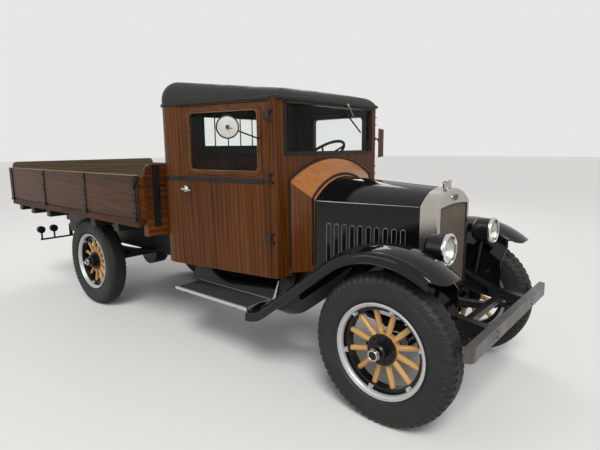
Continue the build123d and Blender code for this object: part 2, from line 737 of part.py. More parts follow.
def cowl_at(x):
    part = (x - CAB_FACE) / (HOOD_REAR_X - CAB_FACE)
    half = COWL_HALF + (HOOD_REAR_HALF - COWL_HALF) * part
    shoulder = COWL_SHOULDER + (HOOD_SHOULDER - COWL_SHOULDER) * part
    apex = COWL_APEX + (HOOD_REAR_APEX - COWL_APEX) * part
    return half, shoulder, apex


def cowl():
    front = HOOD_REAR_X - COWL_FRONT
    outer = [arch_face(x, *cowl_at(x), RAIL_TOP) for x in (CAB_FACE, HOOD_REAR_X)]
    floor = RAIL_TOP + COWL_SHEET
    inner = [arch_face(x, *cowl_at(x), floor, COWL_SHEET) for x in (CAB_FACE, front)]
    return loft(outer, ruled=True) - loft(inner, ruled=True)


def hood_at(x):
    part = (x - HOOD_REAR_X) / (HOOD_FRONT_X - HOOD_REAR_X)
    half = HOOD_REAR_HALF + (HOOD_FRONT_HALF - HOOD_REAR_HALF) * part
    apex = HOOD_REAR_APEX + (HOOD_FRONT_APEX - HOOD_REAR_APEX) * part
    return half, HOOD_SHOULDER, apex


def hood_top_face(x):
    half, shoulder, apex = hood_at(x)

    def at(y, drop):
        return (x, -y, arch_height(y, half, shoulder, apex) - drop)

    middle = half * 0.52
    edge = HOOD_HINGE_Y + HOOD_BARREL / 2
    edges = [ThreePointArc(at(half, 0), at(middle, 0), at(edge, 0)), Line(at(edge, 0), at(edge, SHEET)),
             ThreePointArc(at(edge, SHEET), at(middle, SHEET), at(half, SHEET)),
             Line(at(half, SHEET), at(half, 0))]
    return make_face(Wire(edges))


def hood_hinge_rod(radius, x0, x1):
    # along the hinge line of the right top, cut upright at both ends
    fall = (HOOD_FRONT_APEX - HOOD_REAR_APEX) / (HOOD_FRONT_X - HOOD_REAR_X)
    z = HOOD_REAR_APEX - HOOD_HINGE_DROP
    reach = HOOD_FRONT_X - HOOD_REAR_X + 20
    start = (HOOD_REAR_X - 20, -HOOD_HINGE_Y, z - 20 * fall)
    end = (HOOD_REAR_X + reach, -HOOD_HINGE_Y, z + reach * fall)
    return rod(start, end, radius) & block(x0, x1, -100, 100, HOOD_SHOULDER, COWL_APEX)


def hood_top():
    x0 = HOOD_REAR_X + HOOD_GAP
    x1 = HOOD_FRONT_X - HOOD_GAP
    skin = loft([hood_top_face(x0), hood_top_face(x1)], ruled=True)
    barrel = hood_hinge_rod(HOOD_BARREL, x0, x1)
    return skin + barrel - hood_hinge_rod(HINGE_PIN + RUNNING_GAP, x0 - 1, x1 + 1)


def louvre(x, y, slope):
    # a wedge pressed out of the side, open to the rear, its ends rounded
    x1 = x + LOUVRE_WIDTH
    y1 = y + slope * LOUVRE_WIDTH
    wedge = plate_z([(x, y + 1), (x1, y1 + 1), (x, y - LOUVRE_PROUD)], LOUVRE_LOW, LOUVRE_HIGH)
    r = LOUVRE_WIDTH / 2
    middle = block(x, x1, y - 60, y + 60, LOUVRE_LOW + r, LOUVRE_HIGH - r)
    low = rod((x + r, y - 60, LOUVRE_LOW + r), (x + r, y + 60, LOUVRE_LOW + r), r)
    high = rod((x + r, y - 60, LOUVRE_HIGH - r), (x + r, y + 60, LOUVRE_HIGH - r), r)
    return wedge & (low + high + middle)


def hood_side():
    x0, x1 = HOOD_REAR_X, HOOD_FRONT_X
    y0, y1 = -HOOD_REAR_HALF, -HOOD_FRONT_HALF
    plan = [(x0, y0), (x1, y1), (x1, y1 + SHEET), (x0, y0 + SHEET)]
    panel = plate_z(plan, RAIL_TOP, HOOD_SHOULDER - 8)
    slope = (y1 - y0) / (x1 - x0)
    for i in range(LOUVRES):
        x = LOUVRE_FIRST + i * LOUVRE_PITCH
        panel = panel + louvre(x, y0 + slope * (x - x0), slope)
    return panel


def hood_sides():
    hinge = hood_hinge_rod(HINGE_PIN, HOOD_REAR_X, HOOD_FRONT_X)
    return both(hood_side()) + both(hinge)


def radiator_shell():
    front, rear = SHELL_FRONT_X, HOOD_FRONT_X
    half, apex = HOOD_FRONT_HALF, HOOD_FRONT_APEX
    outer = arch_face(rear, half, HOOD_SHOULDER, apex, SHELL_BOTTOM)
    outer = extrude(outer, amount=front - rear, dir=(1, 0, 0))
    rim_edges = outer.edges().group_by(Axis.X)[-1]
    outer = fillet(rim_edges.filter_by(lambda e: e.center().Z > SHELL_BOTTOM + 5), SHELL_EDGE)
    hollow = arch_face(rear - 1, half - SHELL_WALL, HOOD_SHOULDER, apex - SHELL_WALL, SHELL_BOTTOM - 1)
    hollow = extrude(hollow, amount=front - rear + 1 - SHELL_WALL, dir=(1, 0, 0))
    window = arch_face(front - 40, GRILLE_HALF, GRILLE_TOP, GRILLE_TOP + 14, GRILLE_LOW)
    window = extrude(window, amount=60, dir=(1, 0, 0))
    neck = upright(CAP_X, 0, apex - 8, apex + 22, 26)
    cap = upright(CAP_X, 0, apex + 22, apex + 38, 18)
    wings = block(CAP_X - 10, CAP_X + 10, -52, 52, apex + 24, apex + 36)
    return outer - hollow - window + neck + cap + wings


def radiator_core():
    inner = RAIL_OUT - RAIL_WALL
    x0, x1 = RADIATOR_MOUNT_X - 25, RADIATOR_MOUNT_X + 25
    back = HOOD_FRONT_X + 18
    half = GRILLE_HALF + 20
    core = block(back, SHELL_FRONT_X - 12, -half, half, SHELL_BOTTOM + 20, GRILLE_TOP + 10)
    feet = block(x0, x1, -inner, inner, SHELL_BOTTOM - 20, SHELL_BOTTOM)
    return core + feet + block(x0, x1, -200, 200, SHELL_BOTTOM, SHELL_BOTTOM + 20)


save("cowl", cowl())
save("hood_top_right", hood_top())
save("hood_top_left", left_of(hood_top()))
save("hood_sides", hood_sides())
save("radiator_shell", radiator_shell())
save("radiator_core", radiator_core())


# Headlamps

def turned_lamp(profile):
    # profile points are (x, radius) about the lamp's own axis
    face = make_face(Polyline(*[(x, -LAMP_Y, LAMP_Z + r) for x, r in profile], close=True))
    return revolve(face, axis=Axis((0, -LAMP_Y, LAMP_Z), (1, 0, 0)))


def headlamp():
    back = LAMP_X - LAMP_LENGTH
    front, bezel = LAMP_X + 4, LAMP_X - 14
    outside = [(back, 0), (back, 40), (back + 8, 62), (back + 30, 80), (bezel, 84), (bezel, LAMP_RADIUS),
               (LAMP_X, LAMP_RADIUS), (front, LAMP_RADIUS - 6)]
    inside = [(front, LENS_RADIUS), (LAMP_X - 8, LENS_RADIUS), (back + 30, 72), (back + 12, 54),
              (back + 6, 0)]
    foot = (LAMP_X - 100, -RAIL_OUT + 30, RAIL_TOP - 40)
    post = rod((LAMP_X - 70, -LAMP_Y + 22, LAMP_Z - 76), foot, 12)
    post = (post - frame_rails()).solids().sort_by(SortBy.VOLUME)[-1]
    return turned_lamp(outside + inside) + post


def lens():
    r = LENS_RADIUS
    back = LAMP_X - 8
    return turned_lamp([(back, 0), (back, r), (LAMP_X - 2, r), (LAMP_X + 4, r * 0.72),
                        (LAMP_X + 8, r * 0.42), (LAMP_X + 10, 0)])


save("headlamps", both(headlamp()))
save("headlamp_lenses", both(lens()))


# Front fenders and steps

def on_fender(angle, radius, y=0.0):
    a = radians(angle)
    return (WHEELBASE + radius * sin(a), y, FENDER_CENTRE_Z + radius * cos(a))


def fender_path():
    # over the wheel from the tip, straight down to the rear, then round into the step
    tail = radians(FENDER_TAIL)
    tip, top, leave = [on_fender(a, FENDER_RADIUS) for a in (FENDER_TIP, 0.0, -FENDER_TAIL)]
    low = STEP_Z - STEP_THICK - 12
    meet_x = leave[0] - (leave[2] - low) / sin(tail) * cos(tail)
    reach = meet_x - STEP_FRONT
    bend = reach * sin(tail) / (1 - cos(tail))
    start = (meet_x + reach * cos(tail), 0, low + reach * sin(tail))
    end = (meet_x - reach, 0, low)
    middle = (end[0] + bend * sin(tail / 2), 0, low + bend * (1 - cos(tail / 2)))
    return Wire([ThreePointArc(tip, top, leave), Line(leave, start), ThreePointArc(start, middle, end)])


def fender_plane():
    tip = radians(FENDER_TIP)
    start = on_fender(FENDER_TIP, FENDER_RADIUS)
    return Plane(origin=start, x_dir=(0, -1, 0), z_dir=(-cos(tip), 0, sin(tip)))


def crown_section():
    # (distance out from the middle, height over the path), a sheet with a skirt on each side
    o, i, t = FENDER_OUT, FENDER_IN, SHEET
    low = -FENDER_SKIRT
    edges = [Line((o, low), (o, -12)), ThreePointArc((o, -12), (o - 9, 4), (o - 30, 12)),
             ThreePointArc((o - 30, 12), (640, 34), (i + 20, 10)),
             ThreePointArc((i + 20, 10), (i + 5, 3), (i, -10)), Line((i, -10), (i, low)),
             Line((i, low), (i + t, low)), Line((i + t, low), (i + t, -10)),
             ThreePointArc((i + t, -10), (i + 8, 0), (i + 21, 10 - t)),
             ThreePointArc((i + 21, 10 - t), (640, 34 - t), (o - 31, 12 - t)),
             ThreePointArc((o - 31, 12 - t), (o - 12, 1), (o - t, -12)),
             Line((o - t, -12), (o - t, low)), Line((o - t, low), (o, low))]
    return make_face(Wire(edges))


def fender():
    path = fender_path()
    plane = fender_plane()
    skin = sweep(plane * crown_section(), path=path)
    nose_x = on_fender(FENDER_TIP, FENDER_RADIUS)[0] + 14
    nose = block(2000, nose_x, -FENDER_OUT, -FENDER_IN, 300, 1200)
    corners = nose.edges().filter_by(Axis.Z).group_by(Axis.X)[-1]
    skin = skin & fillet(corners, FENDER_NOSE)
    wall_y = RAIL_OUT + SHEET
    low = -FENDER_SKIRT + 4
    slope = [(FENDER_IN + 1, low), (wall_y, -SLOPE_DROP), (wall_y, -SLOPE_DROP - 6),
             (FENDER_IN + 1, low - 6)]
    slope = sweep(plane * make_face(Polyline(*slope, close=True)), path=path)
    slope = slope & block(2000, SLOPE_FRONT, -900, 0, 300, 1200)
    steps = 12
    angles = [FENDER_TIP - (FENDER_TIP + FENDER_TAIL) * k / steps for k in range(steps + 1)]
    wall = [on_fender(a, FENDER_RADIUS - SLOPE_DROP - 2) for a in angles]
    outline = [(x, z) for x, y, z in wall if x < SLOPE_FRONT]
    outline += [(WHEELBASE - 520, RAIL_TOP - 30), (WHEELBASE + 80, RAIL_TOP - 40),
                (SLOPE_FRONT - 35, 585), (SLOPE_FRONT, 585)]
    return skin + slope + plate_y(outline, -wall_y, -RAIL_OUT)


def running_board():
    low = STEP_Z - STEP_THICK
    board = block(STEP_REAR, STEP_FRONT, -STEP_OUT, -STEP_IN, low, STEP_Z)
    top = CAB_BOTTOM - SHEET
    valance = [(-STEP_IN, low), (-STEP_IN, STEP_Z + 2), (-402, top), (-RAIL_OUT, top),
               (-RAIL_OUT, top - SHEET), (-400, top - SHEET), (-STEP_IN + SHEET, STEP_Z + 1),
               (-STEP_IN + SHEET, low)]
    pieces = [board, plate_x(valance, STEP_REAR - 120, STEP_FRONT)]
    end = -STEP_OUT + 10
    bracket = [(-RAIL_OUT, 640), (-RAIL_OUT, 575), (-460, low - 12), (end, low - 12), (end, low),
               (-474, low)]
    for x in (STEP_REAR + 110, STEP_FRONT - 130):
        pieces.append(plate_x(bracket, x - 20, x + 20))
    return fuse(pieces)


save("front_fenders", both(fender()))
save("running_boards", both(running_board()))


# Bumper: a channel, open to the rear, on two irons from the frame horns

def bumper_body(inset):
    x0 = BUMPER_X - BUMPER_DEPTH - (1 if inset else 0)
    half = BUMPER_HALF - inset
    body = block(x0, BUMPER_X - inset, -half, half, BUMPER_LOW + inset, BUMPER_HIGH - inset)
    corners = body.edges().filter_by(Axis.Z).group_by(Axis.X)[-1]
    return fillet(corners, BUMPER_DEPTH - 1 - inset)


def bumper():
    pieces = [bumper_body(0.0) - bumper_body(BUMPER_WALL)]
    y = RAIL_OUT - RAIL_FLANGE / 2
    for side in (-y, y):
        pieces.append(block(RAIL_FRONT, BUMPER_X - BUMPER_WALL, side - 24, side + 24, RAIL_HORN + 4,
                            RAIL_HORN_TOP - 4))
    return fuse(pieces)


save("bumper", bumper())


# Bed

HINGE_Y = BED_OUT + BED_HINGE_OUT
TAIL_HINGE_X = BED_REAR - BED_HINGE_OUT
FLOOR_LOW = BED_FLOOR_TOP - BED_FLOOR_THICK


def bed_hinges():
    # pins for the drop sides, each held by two ears on the edge of the bed
    near = STRAP_HALF + 0.6
    far = STRAP_HALF + 14.0
    z = BED_HINGE_Z
    pieces = []
    for x in SIDE_STRAPS:
        pin = rod((x - far, -HINGE_Y, z), (x + far, -HINGE_Y, z), HINGE_PIN)
        for a, b in ((x - far, x - near), (x + near, x + far)):
            pin = pin + block(a, b, -HINGE_Y - 5, -BED_OUT, z - 7, z + 4)
        pieces += both(pin)
    for y in TAIL_STRAPS:
        pin = rod((TAIL_HINGE_X, y - far, z), (TAIL_HINGE_X, y + far, z), HINGE_PIN)
        for a, b in ((y - far, y - near), (y + near, y + far)):
            pin = pin + block(TAIL_HINGE_X - 5, BED_REAR + 25, a, b, z - 7, z + 4)
        pieces.append(pin)
    return pieces


def bed_sills():
    y = RAIL_OUT - 35
    return both(block(BED_REAR + 40, BED_FRONT, -y - 35, -y + 35, RAIL_TOP, BED_SILL_TOP))


def bed_frame():
    # cross bearers on the long sills, and the deeper one that carries the headboard
    bearers = []
    for x, inset in ((-1320.0, 70.0), (-880.0, 30.0), (-475.0, 30.0), (475.0, 30.0), (880.0, 30.0)):
        half = BED_OUT - inset
        bearers.append(block(x - 40, x + 40, -half, half, BED_SILL_TOP, FLOOR_LOW))
    front = BED_FRONT - HEAD_SILL
    bearers.append(block(front, BED_FRONT, -HEAD_HALF, HEAD_HALF, BED_SILL_TOP, BED_FLOOR_TOP))
    return bearers


def bed_floor():
    front = BED_FRONT - HEAD_SILL
    inner = BED_OUT - BED_BOARD
    floor = block(BED_REAR + 25, front, -inner, inner, FLOOR_LOW, BED_FLOOR_TOP)
    edge_low = BED_FLOOR_TOP - BED_EDGE
    edge = block(BED_REAR + 25, BED_FRONT - 30, -BED_OUT, -inner, edge_low, BED_FLOOR_TOP)
    return floor + edge + left_of(edge)


def headboard():
    outline = rounded_board(HEAD_HALF, BED_FLOOR_TOP, HEAD_TOP, 45)
    return plate_x(outline, BED_FRONT - HEAD_THICK, BED_FRONT)


def headboard_straps():
    low, high = BED_FLOOR_TOP - 60, HEAD_TOP - 4
    x1 = BED_FRONT + STRAP
    return [block(BED_FRONT, x1, y - 28, y + 28, low, high) for y in (-780.0, -260.0, 260.0, 780.0)]


def side_board():
    return block(BED_REAR, BED_FRONT - 34, -BED_OUT, -BED_OUT + BED_BOARD, BOARD_LOW, SIDE_TOP)


def side_strap(x):
    x0, x1, z = x - STRAP_HALF, x + STRAP_HALF, BED_HINGE_Z
    strap = block(x0, x1, -BED_OUT - STRAP, -BED_OUT, BOARD_LOW, SIDE_TOP)
    strap = strap + block(x0, x1, -HINGE_Y - 2, -BED_OUT, BOARD_LOW, BOARD_LOW + 12)
    strap = strap + rod((x0, -HINGE_Y, z), (x1, -HINGE_Y, z), BED_BARREL)
    strap = strap + block(x0, x1, -HINGE_Y - 6, -HINGE_Y + 6, z, BOARD_LOW + 4)
    return strap - rod((x0 - 6, -HINGE_Y, z), (x1 + 6, -HINGE_Y, z), HINGE_PIN + RUNNING_GAP)


def tail_board():
    outline = rounded_board(TAIL_HALF, BOARD_LOW, TAIL_TOP, 40)
    return plate_x(outline, BED_REAR, BED_REAR + BED_BOARD)


def tail_strap(y):
    y0, y1, x, z = y - STRAP_HALF, y + STRAP_HALF, TAIL_HINGE_X, BED_HINGE_Z
    strap = block(BED_REAR - STRAP, BED_REAR, y0, y1, BOARD_LOW, TAIL_TOP - 20)
    strap = strap + block(x - 6, BED_REAR, y0, y1, BOARD_LOW, BOARD_LOW + 12)
    strap = strap + rod((x, y0, z), (x, y1, z), BED_BARREL)
    strap = strap + block(x - 6, x + 6, y0, y1, z, BOARD_LOW + 4)
    return strap - rod((x, y0 - 6, z), (x, y1 + 6, z), HINGE_PIN + RUNNING_GAP)


def rear_lamps():
    # a bar across the tail, hung from the frame by two straps, with two lamps on each side
    x = RAIL_REAR - 60
    whole = [block(x - 4, x + 4, -692, 692, 480, 500)]
    y = RAIL_OUT - RAIL_WALL - 20
    for side in (-y, y):
        whole.append(block(x - 4, x + 4, side - 20, side + 20, 480, 640))
        whole.append(block(x - 4, RAIL_REAR + 4, side - 20, side + 20, 600, 640))
    for side in (-676.0, -534.0, 534.0, 676.0):
        whole.append(block(x - 4, x + 4, side - 9, side + 9, 490, 600))
        whole.append(rod((x - 30, side, 606), (x + 14, side, 606), 42))
    return fuse(whole)


save("bed_sills", bed_sills())
save("bed_frame", bed_frame())
save("bed_hinges", bed_hinges())
save("bed_floor", bed_floor())
save("headboard", headboard())
save("headboard_straps", headboard_straps())
save("side_board_right", side_board())
save("side_board_left", left_of(side_board()))
save("side_straps_right", [side_strap(x) for x in SIDE_STRAPS])
save("side_straps_left", [left_of(side_strap(x)) for x in SIDE_STRAPS])
save("tail_board", tail_board())
save("tail_straps", [tail_strap(y) for y in TAIL_STRAPS])
save("rear_lamps", rear_lamps())


# Steering wheel and the driver's levers

def column_axis():
    return (Vector(*WHEEL_CENTRE) - Vector(*COLUMN_FOOT)).normalized()


def steering_wheel():
    axis = column_axis()
    centre = Vector(*WHEEL_CENTRE)
    plane = Plane(origin=centre, x_dir=(0, 1, 0), z_dir=axis)
    # (distance out from the rim's middle, height) of the rim's eight-sided section
    section = [(STEER_RIM * cos(radians(a)), STEER_RIM * sin(radians(a))) for a in range(0, 360, 45)]
    face = make_face(Polyline(*[(STEER_RADIUS + r, 0, z) for r, z in section], close=True))
    whole = plane * revolve(face, axis=Axis.Z)
    for k in range(4):
        a = radians(45 + 90 * k)
        end = centre + plane.x_dir * (STEER_RADIUS * cos(a)) + plane.y_dir * (STEER_RADIUS * sin(a))
        whole = whole + rod(tuple(centre - axis * 20), tuple(end), 8)
    whole = whole + rod(tuple(centre - axis * 42), tuple(centre + axis * 4), 30)
    return whole - rod(tuple(centre - axis * 50), tuple(centre - axis * 18), SHAFT + RUNNING_GAP)


def controls():
    axis = column_axis()
    foot = Vector(*COLUMN_FOOT) - axis * 90
    centre = Vector(*WHEEL_CENTRE)
    floor = FLOOR_Z + FLOOR_THICK + 3
    column = rod(tuple(foot), tuple(centre - axis * 42.6), 22)
    column = column + rod(tuple(centre - axis * 60), tuple(centre - axis * 19), SHAFT)
    held = centre - axis * 250
    stay = (CAB_FACE - CAB_WALL + 3, held.Y, held.Z + 130)
    column = column + rod(tuple(held), stay, 12) - cab_front()
    lever = rod((2190, 0, floor), (2060, 0, 1130), 9) + Pos(2060, 0, 1135) * Sphere(24)
    brake = rod((2250, -110, floor), (2170, -110, 1060), 11)
    pedals = []
    for y in (WHEEL_CENTRE[1] - 90, WHEEL_CENTRE[1] + 70):
        pedal = rod((2488, y, 722), (2420, y, 860), 8) + block(2408, 2424, y - 32, y + 32, 840, 900)
        pedals.append(pedal + block(2478, 2498, y - 10, y + 10, RAIL_TOP + COWL_SHEET, 728))
    return [column, lever, brake] + pedals


save("steering_wheel", steering_wheel())
save("controls", controls())
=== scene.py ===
import bpy
import json
import math
from mathutils import Matrix, Vector


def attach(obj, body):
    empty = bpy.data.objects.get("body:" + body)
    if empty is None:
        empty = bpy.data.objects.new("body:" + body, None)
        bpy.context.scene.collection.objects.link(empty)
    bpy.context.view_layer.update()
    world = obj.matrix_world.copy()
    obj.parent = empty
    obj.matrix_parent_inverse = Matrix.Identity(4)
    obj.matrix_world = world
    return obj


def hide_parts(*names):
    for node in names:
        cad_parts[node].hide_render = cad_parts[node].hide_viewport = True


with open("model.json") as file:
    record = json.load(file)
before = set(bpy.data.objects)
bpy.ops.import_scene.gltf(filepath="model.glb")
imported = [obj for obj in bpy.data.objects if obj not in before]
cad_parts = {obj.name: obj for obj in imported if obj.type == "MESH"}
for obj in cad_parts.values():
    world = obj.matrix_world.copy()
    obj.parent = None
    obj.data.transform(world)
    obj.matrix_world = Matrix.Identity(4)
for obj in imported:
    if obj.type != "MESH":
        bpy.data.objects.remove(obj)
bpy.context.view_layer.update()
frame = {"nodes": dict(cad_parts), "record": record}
nodes = frame["nodes"]
print("frame loaded,", len(nodes), "parts")

# Lengths below are millimetres from the rear axle, +X forward and +Y to the lorry's left;
# row() turns them into the scene's metres
lorry = {
    "middleX": 1208.0,
    "wheelbase": 3300.0,
    "halfTrack": 650.0,
    "axleZ": 435.0,
}

cab = {
    "taper": 0.15, "frontX": 2450.0, "frontY": 620.0, "rearX": 1342.0, "corner": 150.0, "face": 2462.0,
    # the 20 mm inset on the next line marks where the cab's inside faces take painted shade
    "doorRear": 1611.0, "doorFront": 2412.0, "doorTop": 1836.0, "gap": 5.0, "wall": 36.0, "insideShadeAndBare": 20.0,
    "belt": (1311.0, 1341.0), "drip": (1850.0, 1870.0),
}

bed = {
    "rear": -1365.0, "front": 1325.0, "out": 925.0, "board": 30.0, "sideTop": 1340.0, "headHalf": 868.0,
    "sillX": 1262.0,
    "straps": (-1300.0, -445.0, 425.0, 1250.0), "tailStraps": (-640.0, 0.0, 640.0),
}


def row(x, y, z):
    return Vector(((x - lorry["middleX"]) / 1000, y / 1000, z / 1000))


def rowX(x):
    return (x - lorry["middleX"]) / 1000


# Mesh building

class Shape:
    # collects points in millimetres, faces, and closed or open pieces joined in one mesh
    def __init__(self):
        self.points = []
        self.faces = []

    def put(self, points, faces):
        first = len(self.points)
        self.points += [row(*p) for p in points]
        self.faces += [tuple(first + i for i in f) for f in faces]

    def box(self, x0, x1, y0, y1, z0, z1):
        points = [(x, y, z) for z in (z0, z1) for y in (y0, y1) for x in (x0, x1)]
        self.put(points, [(0, 2, 3, 1), (4, 5, 7, 6), (0, 1, 5, 4), (2, 6, 7, 3), (0, 4, 6, 2), (1, 3, 7, 5)])

    def turnedBox(self, centre, along, across, up, sizes):
        # a box on its own three directions, sizes are full lengths
        along, across, up = Vector(along).normalized(), Vector(across).normalized(), Vector(up).normalized()
        a, b, c = (s / 2 for s in sizes)
        points = []
        for k in (-1, 1):
            for j in (-1, 1):
                for i in (-1, 1):
                    points.append(tuple(Vector(centre) + along * a * i + across * b * j + up * c * k))
        self.put(points, [(0, 2, 3, 1), (4, 5, 7, 6), (0, 1, 5, 4), (2, 6, 7, 3), (0, 4, 6, 2), (1, 3, 7, 5)])

    def tube(self, path, radius, sides=10, closed=False):
        path = [Vector(p) for p in path]
        count = len(path)
        rings = []
        up = Vector((0, 0, 1))
        for i, p in enumerate(path):
            before = path[(i - 1) % count] if closed or i > 0 else p
            after = path[(i + 1) % count] if closed or i < count - 1 else p
            along = (after - before).normalized()
            side = along.cross(up)
            if side.length < 0.05:
                side = along.cross(Vector((1, 0, 0)))
            side.normalize()
            top = side.cross(along)
            rings.append([tuple(p + (side * math.cos(t) + top * math.sin(t)) * radius)
                          for t in (2 * math.pi * k / sides for k in range(sides))])
        points = [q for ring in rings for q in ring]
        faces = []
        spans = count if closed else count - 1
        for i in range(spans):
            j = (i + 1) % count
            for k in range(sides):
                m = (k + 1) % sides
                faces.append((i * sides + k, i * sides + m, j * sides + m, j * sides + k))
        if not closed:
            faces.append(tuple(reversed(range(sides))))
            faces.append(tuple((count - 1) * sides + k for k in range(sides)))
        self.put(points, faces)

    def spin(self, profile, centre, axis, steps=48, closed=True):
        # profile holds (distance along the axis, radius)
        axis = Vector(axis).normalized()
        side = axis.orthogonal().normalized()
        if abs(axis.z) < 0.9:
            side = axis.cross(Vector((0, 0, 1))).normalized()
        top = side.cross(axis)
        centre = Vector(centre)
        points = []
        for k in range(steps):
            t = 2 * math.pi * k / steps
            out = side * math.cos(t) + top * math.sin(t)
            points += [tuple(centre + axis * a + out * r) for a, r in profile]
        n = len(profile)
        faces = []
        for k in range(steps):
            m = (k + 1) % steps
            for i in range(n if closed else n - 1):
                j = (i + 1) % n
                faces.append((k * n + i, k * n + j, m * n + j, m * n + i))
        self.put(points, faces)

    def disc(self, centre, axis, radius, thick, sides=16):
        # a short cylinder, or a bolt head when it has six sides
        axis = Vector(axis).normalized()
        side = axis.orthogonal().normalized()
        top = side.cross(axis)
        points = []
        for lift in (0.0, thick):
            for k in range(sides):
                t = 2 * math.pi * k / sides
                points.append(tuple(Vector(centre) + axis * lift + (side * math.cos(t) + top * math.sin(t)) * radius))
        faces = [(k, (k + 1) % sides, sides + (k + 1) % sides, sides + k) for k in range(sides)]
        faces.append(tuple(reversed(range(sides))))
        faces.append(tuple(range(sides, 2 * sides)))
        self.put(points, faces)

    def ribbon(self, path, outward, proud, low, high):
        # a flat band that follows a path in plan, standing proud of the wall behind it
        points = []
        for (x, y), (nx, ny) in zip(path, outward):
            points += [(x, y, low), (x + nx * proud, y + ny * proud, low),
                       (x + nx * proud, y + ny * proud, high), (x, y, high)]
        faces = []
        for i in range(len(path) - 1):
            for k in range(4):
                m = (k + 1) % 4
                faces.append((i * 4 + k, i * 4 + m, i * 4 + 4 + m, i * 4 + 4 + k))
        faces.append((3, 2, 1, 0))
        last = (len(path) - 1) * 4
        faces.append((last, last + 1, last + 2, last + 3))
        self.put(points, faces)

    def mirrored(self):
        # the same shape on the lorry's other side
        other = Shape()
        other.points = [Vector((p.x, -p.y, p.z)) for p in self.points]
        other.faces = [tuple(reversed(f)) for f in self.faces]
        return other

    def join(self, other):
        first = len(self.points)
        self.points += other.points
        self.faces += [tuple(first + i for i in f) for f in other.faces]


def makePiece(name, shape, material, body, smooth=False, bevel=0.0):
    mesh = bpy.data.meshes.new(name)
    mesh.from_pydata([tuple(p) for p in shape.points], [], shape.faces)
    mesh.validate()
    mesh.update()
    piece = bpy.data.objects.new(name, mesh)
    bpy.context.scene.collection.objects.link(piece)
    mesh.materials.append(material)
    if smooth:
        mesh.shade_smooth()
        mesh.set_sharp_from_angle(angle=math.radians(38))
    if bevel:
        soft = piece.modifiers.new("soft edges", "BEVEL")
        soft.width = bevel / 1000
        soft.segments = 2
        soft.limit_method = "ANGLE"
        soft.harden_normals = False
    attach(piece, body)
    return piece


# Shader groups

def newGroup(name, inputs, outputs):
    group = bpy.data.node_groups.new(name, "ShaderNodeTree")
    for label, kind, value in inputs:
        made = group.interface.new_socket(name=label, in_out="INPUT", socket_type="NodeSocket" + kind)
        if value is not None:
            made.default_value = value
    for label, kind in outputs:
        group.interface.new_socket(name=label, in_out="OUTPUT", socket_type="NodeSocket" + kind)
    start = group.nodes.new("NodeGroupInput")
    end = group.nodes.new("NodeGroupOutput")
    return group, start, end


def mathNode(tree, operation, a, b=None, clamp=False):
    node = tree.nodes.new("ShaderNodeMath")
    node.operation = operation
    node.use_clamp = clamp
    for i, value in enumerate((a, b)):
        if value is None:
            continue
        if isinstance(value, (int, float)):
            node.inputs[i].default_value = value
        else:
            tree.links.new(value, node.inputs[i])
    return node.outputs[0]


def mixColour(tree, factor, a, b, kind="MIX"):
    node = tree.nodes.new("ShaderNodeMix")
    node.data_type = "RGBA"
    node.blend_type = kind
    for socket, value in ((node.inputs[0], factor), (node.inputs[6], a), (node.inputs[7], b)):
        if isinstance(value, (int, float)):
            socket.default_value = value
        elif isinstance(value, tuple):
            socket.default_value = (*value, 1.0)
        else:
            tree.links.new(value, socket)
    return node.outputs[2]


def noiseNode(tree, vector, scale, detail=4.0, rough=0.55, distortion=0.0):
    node = tree.nodes.new("ShaderNodeTexNoise")
    tree.links.new(vector, node.inputs["Vector"])
    if isinstance(scale, (int, float)):
        node.inputs["Scale"].default_value = scale
    else:
        tree.links.new(scale, node.inputs["Scale"])
    node.inputs["Detail"].default_value = detail
    node.inputs["Roughness"].default_value = rough
    node.inputs["Distortion"].default_value = distortion
    return node.outputs["Fac"]


def rangeNode(tree, value, low, high, toLow=0.0, toHigh=1.0):
    node = tree.nodes.new("ShaderNodeMapRange")
    tree.links.new(value, node.inputs["Value"])
    for label, number in (("From Min", low), ("From Max", high), ("To Min", toLow), ("To Max", toHigh)):
        node.inputs[label].default_value = number
    return node.outputs["Result"]


def buildGrain():
    # varnished timber: broad tone, long streaks, faint growth bands and pores, from a vector stretched with the grain
    group, start, end = newGroup(
        "timberGrain",
        [("Vector", "Vector", None), ("Dark", "Color", (0.03, 0.01, 0.004, 1)), ("Light", "Color", (0.1, 0.035, 0.01, 1)),
         ("Streaks", "Float", 45.0), ("Bands", "Float", 14.0), ("Contrast", "Float", 0.12)],
        [("Color", "Color"), ("Height", "Float")])
    vector = start.outputs["Vector"]
    broad = noiseNode(group, vector, 6.0, 3.0, 0.5, 0.3)
    streaks = noiseNode(group, vector, start.outputs["Streaks"], 6.0, 0.66, 0.2)
    fine = noiseNode(group, vector, 320.0, 2.0, 0.6)
    wave = group.nodes.new("ShaderNodeTexWave")
    wave.wave_type = "BANDS"
    wave.bands_direction = "DIAGONAL"
    group.links.new(vector, wave.inputs["Vector"])
    group.links.new(start.outputs["Bands"], wave.inputs["Scale"])
    wave.inputs["Distortion"].default_value = 9.0
    wave.inputs["Detail"].default_value = 3.0
    wave.inputs["Detail Scale"].default_value = 0.8
    total = mathNode(group, "MULTIPLY", broad, 0.32)
    total = mathNode(group, "ADD", total, mathNode(group, "MULTIPLY", streaks, 0.48))
    total = mathNode(group, "ADD", total, mathNode(group, "MULTIPLY", fine, 0.20))
    swing = mathNode(group, "SUBTRACT", wave.outputs["Fac"], 0.5)
    total = mathNode(group, "ADD", total, mathNode(group, "MULTIPLY", swing, start.outputs["Contrast"]))
    level = rangeNode(group, total, 0.33, 0.67)
    colour = mixColour(group, level, start.outputs["Dark"], start.outputs["Light"])
    group.links.new(colour, end.inputs["Color"])
    group.links.new(total, end.inputs["Height"])
    return group


